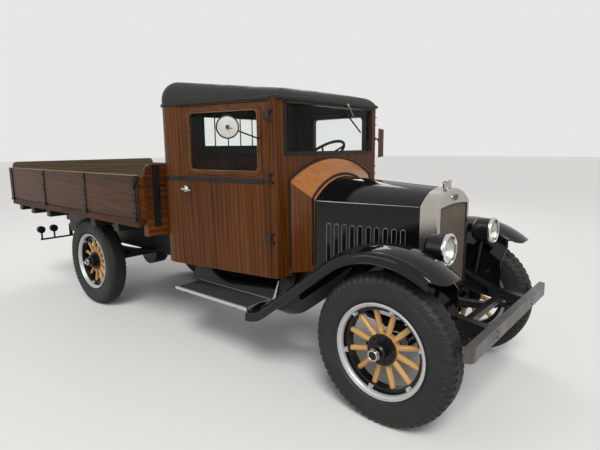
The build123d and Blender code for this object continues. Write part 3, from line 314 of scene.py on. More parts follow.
def buildPlanks():
    # thin dark joints between boards and a small change of tone from board to board
    group, start, end = newGroup(
        "boardJoints",
        [("Position", "Float", 0.0), ("Board Width", "Float", 0.12), ("Joint Width", "Float", 0.003),
         ("Tone Change", "Float", 0.3)],
        [("Joint", "Float"), ("Tone", "Float")])
    ratio = mathNode(group, "DIVIDE", start.outputs["Position"], start.outputs["Board Width"])
    part = mathNode(group, "FRACT", ratio)
    share = mathNode(group, "DIVIDE", start.outputs["Joint Width"], start.outputs["Board Width"])
    joint = mathNode(group, "LESS_THAN", part, share)
    number = mathNode(group, "FLOOR", ratio)
    random = group.nodes.new("ShaderNodeTexWhiteNoise")
    random.noise_dimensions = "1D"
    group.links.new(number, random.inputs["W"])
    swing = mathNode(group, "MULTIPLY", mathNode(group, "SUBTRACT", random.outputs["Value"], 0.5),
                     start.outputs["Tone Change"])
    group.links.new(joint, end.inputs["Joint"])
    group.links.new(mathNode(group, "ADD", swing, 1.0), end.inputs["Tone"])
    return group


def buildHandling():
    # faint cloudy change of gloss and tone, as on a polished old finish
    group, start, end = newGroup(
        "oldPolish",
        [("Vector", "Vector", None), ("Base", "Color", (0.1, 0.1, 0.1, 1)), ("Tone", "Color", (0.1, 0.1, 0.1, 1)),
         ("Amount", "Float", 0.3), ("Roughness", "Float", 0.3), ("Spread", "Float", 0.1)],
        [("Color", "Color"), ("Roughness", "Float")])
    cloud = noiseNode(group, start.outputs["Vector"], 5.0, 5.0, 0.6, 0.3)
    fine = noiseNode(group, start.outputs["Vector"], 60.0, 3.0, 0.6)
    both = mathNode(group, "ADD", mathNode(group, "MULTIPLY", cloud, 0.7), mathNode(group, "MULTIPLY", fine, 0.3))
    mask = rangeNode(group, both, 0.4, 0.62)
    factor = mathNode(group, "MULTIPLY", mask, start.outputs["Amount"])
    group.links.new(mixColour(group, factor, start.outputs["Base"], start.outputs["Tone"]), end.inputs["Color"])
    spread = mathNode(group, "MULTIPLY", mathNode(group, "SUBTRACT", mask, 0.5), start.outputs["Spread"])
    group.links.new(mathNode(group, "ADD", start.outputs["Roughness"], spread, True), end.inputs["Roughness"])
    return group


grainGroup = buildGrain()
plankGroup = buildPlanks()
polishGroup = buildHandling()
print("shader groups built")


def startMaterial(name):
    material = bpy.data.materials.new(name)
    material.use_nodes = True
    tree = material.node_tree
    shader = tree.nodes["Principled BSDF"]
    coordinates = tree.nodes.new("ShaderNodeTexCoord")
    return material, tree, shader, coordinates.outputs["Object"]


def placeGroup(tree, group, **values):
    node = tree.nodes.new("ShaderNodeGroup")
    node.node_tree = group
    for label, value in values.items():
        socket = node.inputs[label.replace("_", " ")]
        if isinstance(value, bpy.types.NodeSocket):
            tree.links.new(value, socket)
        elif isinstance(value, tuple):
            socket.default_value = (*value, 1.0)
        else:
            socket.default_value = value
    return node


def stretched(tree, vector, scale):
    node = tree.nodes.new("ShaderNodeMapping")
    tree.links.new(vector, node.inputs["Vector"])
    node.inputs["Scale"].default_value = scale
    return node.outputs["Vector"]


def axisOf(tree, vector, axis):
    node = tree.nodes.new("ShaderNodeSeparateXYZ")
    tree.links.new(vector, node.inputs[0])
    return node.outputs[axis]


def bumped(tree, shader, height, strength, distance=0.001):
    node = tree.nodes.new("ShaderNodeBump")
    node.inputs["Strength"].default_value = strength
    node.inputs["Distance"].default_value = distance
    tree.links.new(height, node.inputs["Height"])
    tree.links.new(node.outputs["Normal"], shader.inputs["Normal"])


grainAlong = {"X": (0.04, 1.0, 1.0), "Y": (1.0, 0.04, 1.0), "Z": (1.0, 1.0, 0.04)}


def timber(name, tones, along="Z", rough=0.34, coat=0.05, boards=None, across="X", contrast=0.12, streaks=45.0,
           jointWidth=0.0015, tone=0.14, inner=None, innerMask=None):
    # inner is a second pair of tones, shown where innerMask gives 1: painted shade inside the cab, bare wood inside the
    # bed
    material, tree, shader, place = startMaterial(name)
    vector = stretched(tree, place, grainAlong[along])
    grain = placeGroup(tree, grainGroup, Vector=vector, Dark=tones[0], Light=tones[1], Streaks=streaks,
                       Contrast=contrast)
    colour = grain.outputs["Color"]
    height = grain.outputs["Height"]
    if inner:
        insideShadeAndBare = placeGroup(tree, grainGroup, Vector=vector, Dark=inner[0], Light=inner[1], Streaks=streaks,
                            Contrast=contrast)
        colour = mixColour(tree, innerMask(tree, place), colour, insideShadeAndBare.outputs["Color"])
    if boards:
        joints = placeGroup(tree, plankGroup, Position=axisOf(tree, place, across), Board_Width=boards,
                            Joint_Width=jointWidth, Tone_Change=tone)
        tint = tree.nodes.new("ShaderNodeHueSaturation")
        tree.links.new(colour, tint.inputs["Color"])
        tree.links.new(joints.outputs["Tone"], tint.inputs["Value"])
        colour = mixColour(tree, joints.outputs["Joint"], tint.outputs["Color"], tuple(c * 0.4 for c in tones[0]))
        height = mathNode(tree, "SUBTRACT", height, joints.outputs["Joint"])
    tree.links.new(colour, shader.inputs["Base Color"])
    shader.inputs["Roughness"].default_value = rough
    shader.inputs["Specular IOR Level"].default_value = 0.14
    shader.inputs["Coat Weight"].default_value = coat
    shader.inputs["Coat Roughness"].default_value = 0.1
    bumped(tree, shader, height, 0.12, 0.0005)
    return material


def finish(name, base, tone=None, amount=0.3, rough=0.3, spread=0.1, metal=0.0, coat=0.0, shine=0.5):
    material, tree, shader, place = startMaterial(name)
    polish = placeGroup(tree, polishGroup, Vector=place, Base=base, Tone=tone or tuple(c * 1.4 for c in base),
                        Amount=amount, Roughness=rough, Spread=spread)
    tree.links.new(polish.outputs["Color"], shader.inputs["Base Color"])
    tree.links.new(polish.outputs["Roughness"], shader.inputs["Roughness"])
    shader.inputs["Metallic"].default_value = metal
    shader.inputs["Specular IOR Level"].default_value = shine
    shader.inputs["Coat Weight"].default_value = coat
    shader.inputs["Coat Roughness"].default_value = 0.05
    return material


def glass(name, colour, rough=0.02):
    material, tree, shader, place = startMaterial(name)
    shader.inputs["Base Color"].default_value = (*colour, 1.0)
    shader.inputs["Roughness"].default_value = rough
    shader.inputs["Transmission Weight"].default_value = 1.0
    shader.inputs["IOR"].default_value = 1.12
    return material


# Masks: each gives 1 on one part of a node and 0 on the rest

def frontOf(limitX):
    def mask(tree, place):
        return mathNode(tree, "GREATER_THAN", axisOf(tree, place, "X"), rowX(limitX))
    return mask


def rearOf(limitX):
    def mask(tree, place):
        return mathNode(tree, "LESS_THAN", axisOf(tree, place, "X"), rowX(limitX))
    return mask


def wheelMask(axleX):
    # the demountable rim, not the felloe and the hub inside it
    def mask(tree, place):
        x = mathNode(tree, "SUBTRACT", axisOf(tree, place, "X"), rowX(axleX))
        z = mathNode(tree, "SUBTRACT", axisOf(tree, place, "Z"), lorry["axleZ"] / 1000)
        square = mathNode(tree, "ADD", mathNode(tree, "MULTIPLY", x, x), mathNode(tree, "MULTIPLY", z, z))
        return mathNode(tree, "GREATER_THAN", mathNode(tree, "SQRT", square), 0.2545)
    return mask


def cabInsideShadeMask(tree, place):
    # within a plan set in from the cab's outer wall, round its rear corners: the inside faces, which take painted shade
    x = axisOf(tree, place, "X")
    y = mathNode(tree, "ABSOLUTE", axisOf(tree, place, "Y"))
    widen = mathNode(tree, "MULTIPLY", mathNode(tree, "SUBTRACT", rowX(cab["frontX"]), x), cab["taper"])
    edge = mathNode(tree, "ADD", widen, (cab["frontY"] - cab["corner"]) / 1000)
    overY = mathNode(tree, "MAXIMUM", mathNode(tree, "SUBTRACT", y, edge), 0.0)
    overX = mathNode(tree, "MAXIMUM", mathNode(tree, "SUBTRACT", rowX(cab["rearX"] + cab["corner"]), x), 0.0)
    square = mathNode(tree, "ADD", mathNode(tree, "MULTIPLY", overX, overX), mathNode(tree, "MULTIPLY", overY, overY))
    within = mathNode(tree, "LESS_THAN", mathNode(tree, "SQRT", square), (cab["corner"] - cab["insideShadeAndBare"]) / 1000)
    behind = mathNode(tree, "LESS_THAN", x, rowX(cab["face"] - cab["insideShadeAndBare"]))
    return mathNode(tree, "MINIMUM", within, behind)


def insideBed(tree, place):
    # the faces of the boards that look into the bed
    x = axisOf(tree, place, "X")
    y = mathNode(tree, "ABSOLUTE", axisOf(tree, place, "Y"))
    within = mathNode(tree, "LESS_THAN", y, (bed["out"] - bed["board"] + 3) / 1000)
    ahead = mathNode(tree, "GREATER_THAN", x, rowX(bed["rear"] + bed["board"] - 3))
    behind = mathNode(tree, "LESS_THAN", x, rowX(bed["front"] - 25))
    return mathNode(tree, "MINIMUM", within, mathNode(tree, "MINIMUM", ahead, behind))


woods = {
    # dark and light tone of each timber
    "cab": ((0.026, 0.0068, 0.0010), (0.110, 0.033, 0.0046)),
    "post": ((0.030, 0.0085, 0.0018), (0.115, 0.037, 0.0080)),
    "arch": ((0.20, 0.066, 0.012), (0.40, 0.150, 0.034)),
    "spoke": ((0.30, 0.150, 0.045), (0.56, 0.330, 0.120)),
    "board": ((0.021, 0.0070, 0.0024), (0.070, 0.0255, 0.0085)),
    "headboard": ((0.024, 0.0070, 0.0022), (0.095, 0.030, 0.0095)),
    "sill": ((0.045, 0.0125, 0.0025), (0.150, 0.045, 0.0100)),
    "beam": ((0.012, 0.0100, 0.0090), (0.034, 0.027, 0.0210)),
    "bare": ((0.082, 0.063, 0.038), (0.145, 0.112, 0.0700)),
    "edge": ((0.10, 0.062, 0.036), (0.26, 0.170, 0.1000)),
    # dark grey painted shade for the cab's inside faces, not a timber of its own
    "insideShadeAndBare": ((0.016, 0.0150, 0.0160), (0.034, 0.032, 0.0330)),
}

# the cab's inside faces take the dark grey tones: painted shade inside the cab
cabWoodWithInsideShade = timber("cabWoodWithInsideShade", woods["cab"], "Z", boards=0.118, inner=woods["insideShadeAndBare"], innerMask=cabInsideShadeMask)
railWood = timber("railWood", woods["post"], "X")
boardWood = timber("boardWood", woods["board"], "X", boards=0.1135, across="Z", inner=woods["bare"],
                   innerMask=insideBed)
tailBoardWood = timber("tailBoardWood", woods["board"], "Y", boards=0.1135, across="Z", inner=woods["bare"],
                       innerMask=insideBed)
headboardWood = timber("headboardWood", woods["headboard"], "Y", boards=0.1135, across="Z", inner=woods["bare"],
                       innerMask=insideBed)
bedFloorWood = timber("bedFloorWood", woods["board"], "X", rough=0.5, coat=0.0, boards=0.15, across="Y",
                      jointWidth=0.004, inner=woods["bare"], innerMask=insideBed)
frameWood = timber("frameWood", woods["sill"], "Y", inner=woods["beam"], innerMask=rearOf(bed["sillX"]))
paleEdge = timber("paleEdge", woods["edge"], "X", rough=0.5, coat=0.0)

blackGloss = finish("blackGloss", (0.0030, 0.0030, 0.0034), (0.006, 0.006, 0.0065), 0.4, 0.09, 0.04, shine=0.3)
# pale grey for the louvre edges: painted highlight, standing in for light caught on the edges of the black pressed
# louvres
louvreHighlightPaint = finish("louvreHighlightPaint", (0.20, 0.205, 0.21), (0.12, 0.122, 0.125), 0.6, 0.2, 0.1, shine=0.5)
blackSatin = finish("blackSatin", (0.0065, 0.0065, 0.007), (0.016, 0.0155, 0.015), 0.5, 0.36, 0.2, shine=0.25)
blackRubber = finish("blackRubber", (0.008, 0.008, 0.008), (0.02, 0.02, 0.02), 0.4, 0.6, 0.2, shine=0.2)
engineIron = finish("engineIron", (0.02, 0.02, 0.02), (0.05, 0.043, 0.036), 0.5, 0.6, 0.2, metal=0.3)
nickel = finish("nickel", (0.48, 0.455, 0.41), (0.42, 0.395, 0.35), 0.4, 0.24, 0.06, metal=1.0)
chrome = finish("chrome", (0.62, 0.62, 0.62), (0.5, 0.5, 0.5), 0.3, 0.12, 0.05, metal=1.0)
lampBowl = finish("lampBowl", (0.52, 0.52, 0.50), (0.40, 0.40, 0.38), 0.4, 0.32, 0.1, metal=1.0)
silverPaint = finish("silverPaint", (0.46, 0.47, 0.48), (0.36, 0.37, 0.38), 0.5, 0.34, 0.15, metal=0.5)
bumperPaint = finish("bumperPaint", (0.085, 0.080, 0.074), (0.055, 0.050, 0.044), 0.5, 0.38, 0.2, metal=0.4)
aluminium = finish("aluminium", (0.55, 0.55, 0.54), (0.43, 0.43, 0.42), 0.4, 0.36, 0.15, metal=0.8)
mirrorGlass = finish("mirrorGlass", (0.8, 0.8, 0.8), (0.75, 0.75, 0.75), 0.2, 0.03, 0.02, metal=1.0)
mirrorBack = finish("mirrorBack", (0.075, 0.036, 0.020), (0.11, 0.055, 0.032), 0.5, 0.35, 0.1, shine=0.3)
enamel = finish("enamel", (0.50, 0.49, 0.45), (0.36, 0.35, 0.32), 0.5, 0.3, 0.1, shine=0.3)
brass = finish("brass", (0.26, 0.150, 0.065), (0.16, 0.085, 0.035), 0.5, 0.3, 0.1, metal=0.7)
stepRubber = finish("stepRubber", (0.030, 0.030, 0.031), (0.050, 0.049, 0.047), 0.4, 0.6, 0.2, shine=0.25)
clearGlass = glass("clearGlass", (0.96, 0.98, 0.97))
lensGlass = glass("lensGlass", (0.98, 0.98, 0.95), 0.12)
redGlass = finish("redGlass", (0.25, 0.012, 0.008), (0.35, 0.02, 0.01), 0.4, 0.12, 0.05)
amberGlass = finish("amberGlass", (0.45, 0.14, 0.01), (0.5, 0.18, 0.02), 0.4, 0.12, 0.05)


def textured(name, base, tone, rough, texture, strength, depth):
    # a dull finish with its own fine relief; texture(tree, place) gives the height
    material, tree, shader, place = startMaterial(name)
    polish = placeGroup(tree, polishGroup, Vector=place, Base=base, Tone=tone, Amount=0.55, Roughness=rough,
                        Spread=0.2)
    tree.links.new(polish.outputs["Color"], shader.inputs["Base Color"])
    tree.links.new(polish.outputs["Roughness"], shader.inputs["Roughness"])
    shader.inputs["Specular IOR Level"].default_value = 0.25
    bumped(tree, shader, texture(tree, place), strength, depth)
    return material


def cells(scale):
    def height(tree, place):
        node = tree.nodes.new("ShaderNodeTexVoronoi")
        node.inputs["Scale"].default_value = scale
        tree.links.new(place, node.inputs["Vector"])
        return node.outputs["Distance"]
    return height


def pitted(tree, place):
    return noiseNode(tree, place, 240.0, 2.0)


def splitMetal(name, inside, outside, mask):
    # one part in two finishes; mask(tree, place) gives 1 where the outside finish shows
    material, tree, shader, place = startMaterial(name)
    factor = mask(tree, place)
    polish = placeGroup(tree, polishGroup, Vector=place, Base=(1.0, 1.0, 1.0), Tone=(0.75, 0.75, 0.75), Amount=0.5,
                        Roughness=0.5, Spread=0.1)
    flat = mixColour(tree, factor, inside["colour"], outside["colour"])
    tree.links.new(mixColour(tree, 1.0, flat, polish.outputs["Color"], "MULTIPLY"), shader.inputs["Base Color"])
    tree.links.new(rangeNode(tree, factor, 0.0, 1.0, inside["rough"], outside["rough"]), shader.inputs["Roughness"])
    tree.links.new(rangeNode(tree, factor, 0.0, 1.0, inside["metal"], outside["metal"]), shader.inputs["Metallic"])
    shader.inputs["Specular IOR Level"].default_value = 0.3
    return material


brownLeaf = {"colour": (0.018, 0.0085, 0.0050), "rough": 0.35, "metal": 0.0}
blackInside = {"colour": (0.006, 0.006, 0.0065), "rough": 0.3, "metal": 0.0}
silverOutside = {"colour": (0.47, 0.48, 0.49), "rough": 0.32, "metal": 0.55}
nickelOutside = {"colour": (0.60, 0.59, 0.56), "rough": 0.14, "metal": 1.0}
tyreRubber = textured("tyreRubber", (0.013, 0.013, 0.0135), (0.027, 0.0265, 0.0255), 0.55, pitted, 0.1, 0.001)
roofCloth = textured("roofCloth", (0.0075, 0.0072, 0.0070), (0.022, 0.0210, 0.0190), 0.48, cells(420.0), 0.5, 0.0008)
seatLeather = textured("seatLeather", (0.045, 0.020, 0.012), (0.085, 0.038, 0.022), 0.45, cells(300.0), 0.35, 0.0008)
rimFront = splitMetal("rimFront", blackInside, silverOutside, wheelMask(lorry["wheelbase"]))
rimRear = splitMetal("rimRear", blackInside, silverOutside, wheelMask(0.0))
lampShell = splitMetal("lampShell", blackInside, nickelOutside, frontOf(3518.0))
doorFittings = splitMetal("doorFittings", brownLeaf, nickelOutside, rearOf(2300.0))


def makeSpokeWood(name, axleX):
    # grain runs out along each spoke, so it is drawn from the angle round the hub
    material, tree, shader, place = startMaterial(name)
    x = mathNode(tree, "SUBTRACT", axisOf(tree, place, "X"), rowX(axleX))
    z = mathNode(tree, "SUBTRACT", axisOf(tree, place, "Z"), lorry["axleZ"] / 1000)
    angle = mathNode(tree, "ARCTAN2", z, x)
    square = mathNode(tree, "ADD", mathNode(tree, "MULTIPLY", x, x), mathNode(tree, "MULTIPLY", z, z))
    radius = mathNode(tree, "SQRT", square)
    merge = tree.nodes.new("ShaderNodeCombineXYZ")
    tree.links.new(mathNode(tree, "MULTIPLY", angle, 0.4), merge.inputs[0])
    tree.links.new(mathNode(tree, "MULTIPLY", radius, 0.12), merge.inputs[1])
    tree.links.new(axisOf(tree, place, "Y"), merge.inputs[2])
    grain = placeGroup(tree, grainGroup, Vector=merge.outputs[0], Dark=woods["spoke"][0], Light=woods["spoke"][1],
                       Streaks=60.0)
    tree.links.new(grain.outputs["Color"], shader.inputs["Base Color"])
    shader.inputs["Roughness"].default_value = 0.3
    shader.inputs["Specular IOR Level"].default_value = 0.3
    return material


def makeCowlWood():
    # bright arched top over darker upright sides
    material, tree, shader, place = startMaterial("cowlWood")
    across = stretched(tree, place, grainAlong["Y"])
    upright = stretched(tree, place, grainAlong["Z"])
    top = placeGroup(tree, grainGroup, Vector=across, Dark=woods["arch"][0], Light=woods["arch"][1], Streaks=70.0,
                     Contrast=0.05)
    side = placeGroup(tree, grainGroup, Vector=upright, Dark=woods["post"][0], Light=woods["post"][1])
    fall = (1326.0 - 1189.0) / (2567.0 - 2462.0)
    line = mathNode(tree, "MULTIPLY", mathNode(tree, "SUBTRACT", axisOf(tree, place, "X"), rowX(2462.0)), -fall)
    line = mathNode(tree, "ADD", line, 1.322)
    mask = mathNode(tree, "GREATER_THAN", axisOf(tree, place, "Z"), line)
    tree.links.new(mixColour(tree, mask, side.outputs["Color"], top.outputs["Color"]), shader.inputs["Base Color"])
    shader.inputs["Roughness"].default_value = 0.28
    shader.inputs["Specular IOR Level"].default_value = 0.3
    shader.inputs["Coat Weight"].default_value = 0.15
    shader.inputs["Coat Roughness"].default_value = 0.08
    bumped(tree, shader, side.outputs["Height"], 0.1, 0.0005)
    return material


cowlWood = makeCowlWood()
finishes = {
    "tyre": tyreRubber, "chassis_black": blackSatin, "engine_iron": engineIron, "cab_wood": cabWoodWithInsideShade,
    "clear_glass": clearGlass, "nickel": nickel, "mirror_brown": mirrorBack, "roof_cloth": roofCloth,
    "seat_leather": seatLeather, "gloss_black": blackGloss, "core_brass": engineIron, "bumper_steel": bumperPaint,
    "bed_wood": boardWood, "lamp_black": blackSatin, "wheel_black": blackRubber,
}
ownFinish = {
    "cowl": cowlWood, "headlamps": lampShell, "headlamp_lenses": lensGlass, "tail_board": tailBoardWood,
    "headboard": headboardWood, "bed_floor": bedFloorWood, "bed_frame": frameWood,
    "door_fittings_right": doorFittings, "door_fittings_left": doorFittings,
    "rim_front_right": rimFront, "rim_front_left": rimFront, "rim_rear_right": rimRear, "rim_rear_left": rimRear,
    "spokes_front_right": makeSpokeWood("spokeWoodFront", lorry["wheelbase"]),
    "spokes_rear_right": makeSpokeWood("spokeWoodRear", 0.0),
}
ownFinish["spokes_front_left"] = ownFinish["spokes_front_right"]
ownFinish["spokes_rear_left"] = ownFinish["spokes_rear_right"]
for subpart in frame["record"]["subparts"]:
    part = nodes[subpart["node"]]
    chosen = ownFinish.get(subpart["node"]) or finishes.get(subpart["material_slot"])
    if chosen:
        for holder in part.material_slots:
            holder.material = chosen
print("finishes on the parts")


# Wheels: tread, sidewall rings, rim clamps, hub bolts and caps

tyre = {
    "outer": 435.0, "groove": 8.0, "lugs": 60, "ribWave": 4.0, "ribSteps": 180, "ribHalf": 8.0,
    "ribs": (-24.0, 0.0, 24.0),
}
wheels = (
    ("front_right", 3300.0, -1, False), ("front_left", 3300.0, 1, False),
    ("rear_right", 0.0, -1, True), ("rear_left", 0.0, 1, True),
)


def aroundWheel(x, y, radius, angle, offset):
    return (x + radius * math.cos(angle), y + offset, lorry["axleZ"] + radius * math.sin(angle))


def makeTread(name, x, out):
    y = out * lorry["halfTrack"]
    top = tyre["outer"]
    deep = tyre["groove"]
    carcass = [(58, 264), (60, 279), (68, 290), (71.5, 296), (74, 297), (76, 305), (80, 322), (81.6, 342), (82, 355),
               (82, 366), (80.4, 368), (80.6, 372), (81, 388), (75, 402), (67, 415), (56, 424), (34, top - deep),
               (0, top - deep + 1)]
    profile = carcass + [(-a, r) for a, r in reversed(carcass[:-1])]
    shape = Shape()
    shape.spin(profile, (x, y, lorry["axleZ"]), (0, 1, 0), 96)
    steps = tyre["ribSteps"]
    for base in tyre["ribs"]:
        points, faces = [], []
        for k in range(steps):
            angle = 2 * math.pi * k / steps
            shift = base + tyre["ribWave"] * math.sin(tyre["lugs"] * angle)
            for offset, radius in ((-tyre["ribHalf"] - 1, top - deep - 1), (-tyre["ribHalf"] + 1, top - 0.5),
                                   (tyre["ribHalf"] - 1, top - 0.5), (tyre["ribHalf"] + 1, top - deep - 1)):
                points.append(aroundWheel(x, y, radius, angle, shift + offset))
        for k in range(steps):
            m = (k + 1) % steps
            faces += [(k * 4 + i, k * 4 + i + 1, m * 4 + i + 1, m * 4 + i) for i in range(3)]
        shape.put(points, faces)
    lugLine = [(38, top - 1, top - 10), (54, 431, 422), (67, 422, 412), (77, 408, 398), (82, 390, 386)]
    half = math.radians(360 / tyre["lugs"] * 0.33)
    for k in range(tyre["lugs"]):
        for side in (-1, 1):
            angle = 2 * math.pi * (k + (0.25 if side > 0 else 0.75)) / tyre["lugs"]
            points, faces = [], []
            for offset, high, low in lugLine:
                sway = angle + math.radians(0.02 * (offset - 38))
                for turn, radius in ((-half, low), (-half * 0.8, high), (half * 0.8, high), (half, low)):
                    points.append(aroundWheel(x, y, radius, sway + turn, side * offset))
            for i in range(len(lugLine) - 1):
                faces += [(i * 4 + j, i * 4 + j + 1, i * 4 + 5 + j, i * 4 + 4 + j) for j in range(3)]
            faces.append((0, 1, 2, 3))
            last = (len(lugLine) - 1) * 4
            faces.append((last + 3, last + 2, last + 1, last))
            shape.put(points, faces)
    piece = makePiece("tread_" + name, shape, tyreRubber, "wheel_" + name, smooth=True)
    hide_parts("tyre_" + name)


rimTrim = {"clamps": 6, "clampRadius": 250.0, "hubBolts": 12, "boltRing": 70.0, "frontNose": 112.0,
           "rearNose": 100.0}


def makeWheelTrim(name, x, out, rear):
    y = out * lorry["halfTrack"]
    outward = (0, out, 0)
    body = "wheel_" + name
    clamps = Shape()
    for k in range(rimTrim["clamps"]):
        angle = math.radians(60 * k + 15)
        radial = Vector((math.cos(angle), 0, math.sin(angle)))
        tangent = Vector((-math.sin(angle), 0, math.cos(angle)))
        middle = Vector((x, y, lorry["axleZ"])) + radial * rimTrim["clampRadius"]
        clamps.turnedBox(middle + Vector(outward) * 33, radial, outward, tangent, (34, 12, 30))
        clamps.turnedBox(middle + radial * 14 + Vector(outward) * 44, radial, outward, tangent, (12, 22, 24))
        clamps.disc(middle - radial * 4 + Vector(outward) * 39, outward, 11, 13, 6)
    stem = Vector((x, y, lorry["axleZ"])) + Vector((math.cos(0.9), 0, math.sin(0.9))) * 246
    clamps.disc(stem + Vector(outward) * 27, outward, 5, 30, 8)
    makePiece("rimClamps_" + name, clamps, silverPaint, body, bevel=1.5)
    # the outer lip and the bright band of the demountable rim
    lip = Shape()
    lip.spin([(66, 276), (70, 277), (72, 274), (71, 268), (60, 262), (46, 258), (42, 254), (42, 250), (50, 250),
              (62, 256), (66, 262)], (x, y, lorry["axleZ"]), outward, 72)
    makePiece("rimLip_" + name, lip, silverPaint, body, smooth=True)
    hub = Shape()
    for k in range(rimTrim["hubBolts"]):
        angle = 2 * math.pi * (k + 0.5) / rimTrim["hubBolts"]
        spot = (x + rimTrim["boltRing"] * math.cos(angle), y + out * 36,
                lorry["axleZ"] + rimTrim["boltRing"] * math.sin(angle))
        hub.disc(spot, outward, 7.5, 8, 6)
    makePiece("hubBolts_" + name, hub, blackSatin, body, bevel=0.8)
    cap = Shape()
    reach = rimTrim["rearNose"] if rear else rimTrim["frontNose"]
    cap.disc((x, y + out * (reach - 2), lorry["axleZ"]), outward, 38, 12, 6)
    cap.spin([(reach + 9, 33), (reach + 18, 31), (reach + 20, 28), (reach + 19, 24), (reach + 14, 22), (reach + 9, 22)],
             (x, y, lorry["axleZ"]), outward, 32)
    makePiece("hubCap_" + name, cap, nickel, body, smooth=True, bevel=1.2)
    centre = Shape()
    centre.disc((x, y + out * (reach + 9), lorry["axleZ"]), outward, 23, 5, 24)
    makePiece("hubCentre_" + name, centre, blackSatin, body, smooth=True)


for name, x, out, rear in wheels:
    makeTread(name, x, out)
    makeWheelTrim(name, x, out, rear)
print("wheels dressed")


# Cab: mouldings, frames, wiper

def sideY(x):
    return -cab["frontY"] - cab["taper"] * (cab["frontX"] - x)


lean = math.hypot(1.0, cab["taper"])
sideOut = (cab["taper"] / lean, -1.0 / lean)


def sideBand(x0, x1):
    # plan points and outward directions along the tapered right side
    return [(x0, sideY(x0)), (x1, sideY(x1))], [sideOut, sideOut]


def rearBand(x1):
    # from the right side at x1 round the rear corners and the back to the left side
    centre = (cab["rearX"] + cab["corner"], sideY(cab["rearX"] + cab["corner"]) + cab["corner"] * lean)
    startAngle = math.atan2(sideOut[1], sideOut[0])
    endAngle = -math.pi
    path, outward = [(x1, sideY(x1))], [sideOut]
    steps = 10
    for k in range(steps + 1):
        angle = startAngle + (endAngle - startAngle) * k / steps
        direction = (math.cos(angle), math.sin(angle))
        path.append((centre[0] + cab["corner"] * direction[0], centre[1] + cab["corner"] * direction[1]))
        outward.append(direction)
    mirrored = [(px, -py) for px, py in reversed(path)]
    turned = [(nx, -ny) for nx, ny in reversed(outward)]
    return path + mirrored, outward + turned


belt = Shape()
belt.ribbon(*rearBand(cab["doorRear"] - cab["gap"]), 7.0, *cab["belt"])
makePiece("beltMoulding_back", belt, blackSatin, "chassis", bevel=2.0)
doorBelt = Shape()
doorBelt.ribbon(*sideBand(cab["doorRear"], cab["doorFront"] - 46), 7.0, *cab["belt"])
makePiece("beltMoulding_right", doorBelt, blackSatin, "door_right", bevel=2.0)
makePiece("beltMoulding_left", doorBelt.mirrored(), blackSatin, "door_left", bevel=2.0)

drip = Shape()
drip.ribbon(*rearBand(2428), 13.0, *cab["drip"])
drip.box(2430, 2477, -606, 606, cab["drip"][0], cab["drip"][1] + 4)
makePiece("dripMoulding", drip, blackSatin, "chassis", bevel=4.0)

beltRivets = Shape()
rivetPitch = 58.0
for k in range(13):
    x = cab["doorRear"] + 36 + rivetPitch * k
    beltRivets.disc((x, sideY(x) + 0.5, 1326), (*sideOut, 0), 3.2, 8.6, 8)
makePiece("beltRivets_right", beltRivets, blackGloss, "door_right", smooth=True)
makePiece("beltRivets_left", beltRivets.mirrored(), blackGloss, "door_left", smooth=True)

window = {"x": (1722.0, 2322.0), "z": (1390.0, 1790.0), "corner": 34.0, "frame": 30.0, "proud": 6.0}


def roundedLoop(x0, x1, z0, z1, corner, steps=5):
    loop = []
    for cx, cz, start in ((x1 - corner, z1 - corner, 0), (x0 + corner, z1 - corner, 90),
                          (x0 + corner, z0 + corner, 180), (x1 - corner, z0 + corner, 270)):
        for k in range(steps + 1):
            angle = math.radians(start + 90 * k / steps)
            loop.append((cx + corner * math.cos(angle), cz + corner * math.sin(angle)))
    return loop


def windowFrame():
    # a flat moulding round the door's window
    grow = window["frame"]
    inner = roundedLoop(*window["x"], *window["z"], window["corner"])
    outer = roundedLoop(window["x"][0] - grow, window["x"][1] + grow, window["z"][0] - grow, window["z"][1] + grow,
                        window["corner"] + grow * 0.6)
    shape = Shape()
    points, faces = [], []
    for (ix, iz), (ox, oz) in zip(inner, outer):
        for x, z, lift in ((ix, iz, 0.0), (ix, iz, window["proud"]), (ox, oz, window["proud"]), (ox, oz, 0.0)):
            points.append((x + sideOut[0] * lift, sideY(x) + sideOut[1] * lift, z))
    count = len(inner)
    for i in range(count):
        j = (i + 1) % count
        faces += [(i * 4 + k, i * 4 + (k + 1) % 4, j * 4 + (k + 1) % 4, j * 4 + k) for k in range(4)]
    shape.put(points, faces)
    return shape


rightFrame = windowFrame()
makePiece("windowFrame_right", rightFrame, railWood, "door_right", bevel=1.5)
makePiece("windowFrame_left", rightFrame.mirrored(), railWood, "door_left", bevel=1.5)
windowBead = Shape()
beadLine = [(x, sideY(x) - window["proud"] + 1, z) for x, z in roundedLoop(*window["x"], *window["z"], window["corner"])]
windowBead.tube(beadLine, 2.0, 6, closed=True)
makePiece("windowBead_right", windowBead, brass, "door_right", smooth=True)
makePiece("windowBead_left", windowBead.mirrored(), brass, "door_left", smooth=True)

# strips inside the wall that the closed doors meet
stops = Shape()
inward = cab["wall"] + 3
stopRun = [(x, sideY(x) - sideOut[1] * inward) for x in (cab["doorRear"] - 14, cab["doorFront"] + 6)]
stops.ribbon(stopRun, [sideOut, sideOut], -12.0, cab["doorTop"] - 14, cab["doorTop"] + 16)
stops.join(stops.mirrored())
makePiece("doorStops", stops, cabWoodWithInsideShade, "chassis")

guard = Shape()
innerRear = cab["rearX"] + 36.0
for k in range(4):
    y = -217.5 + 145.0 * k
    guard.tube([(innerRear + 8, y, 1556), (innerRear + 8, y, 1801)], 5, 8)
for z in (1556.0, 1801.0):
    guard.tube([(innerRear + 8, -322, z), (innerRear + 8, 322, z)], 5, 8)
makePiece("rearGuard", guard, blackSatin, "chassis", smooth=True)

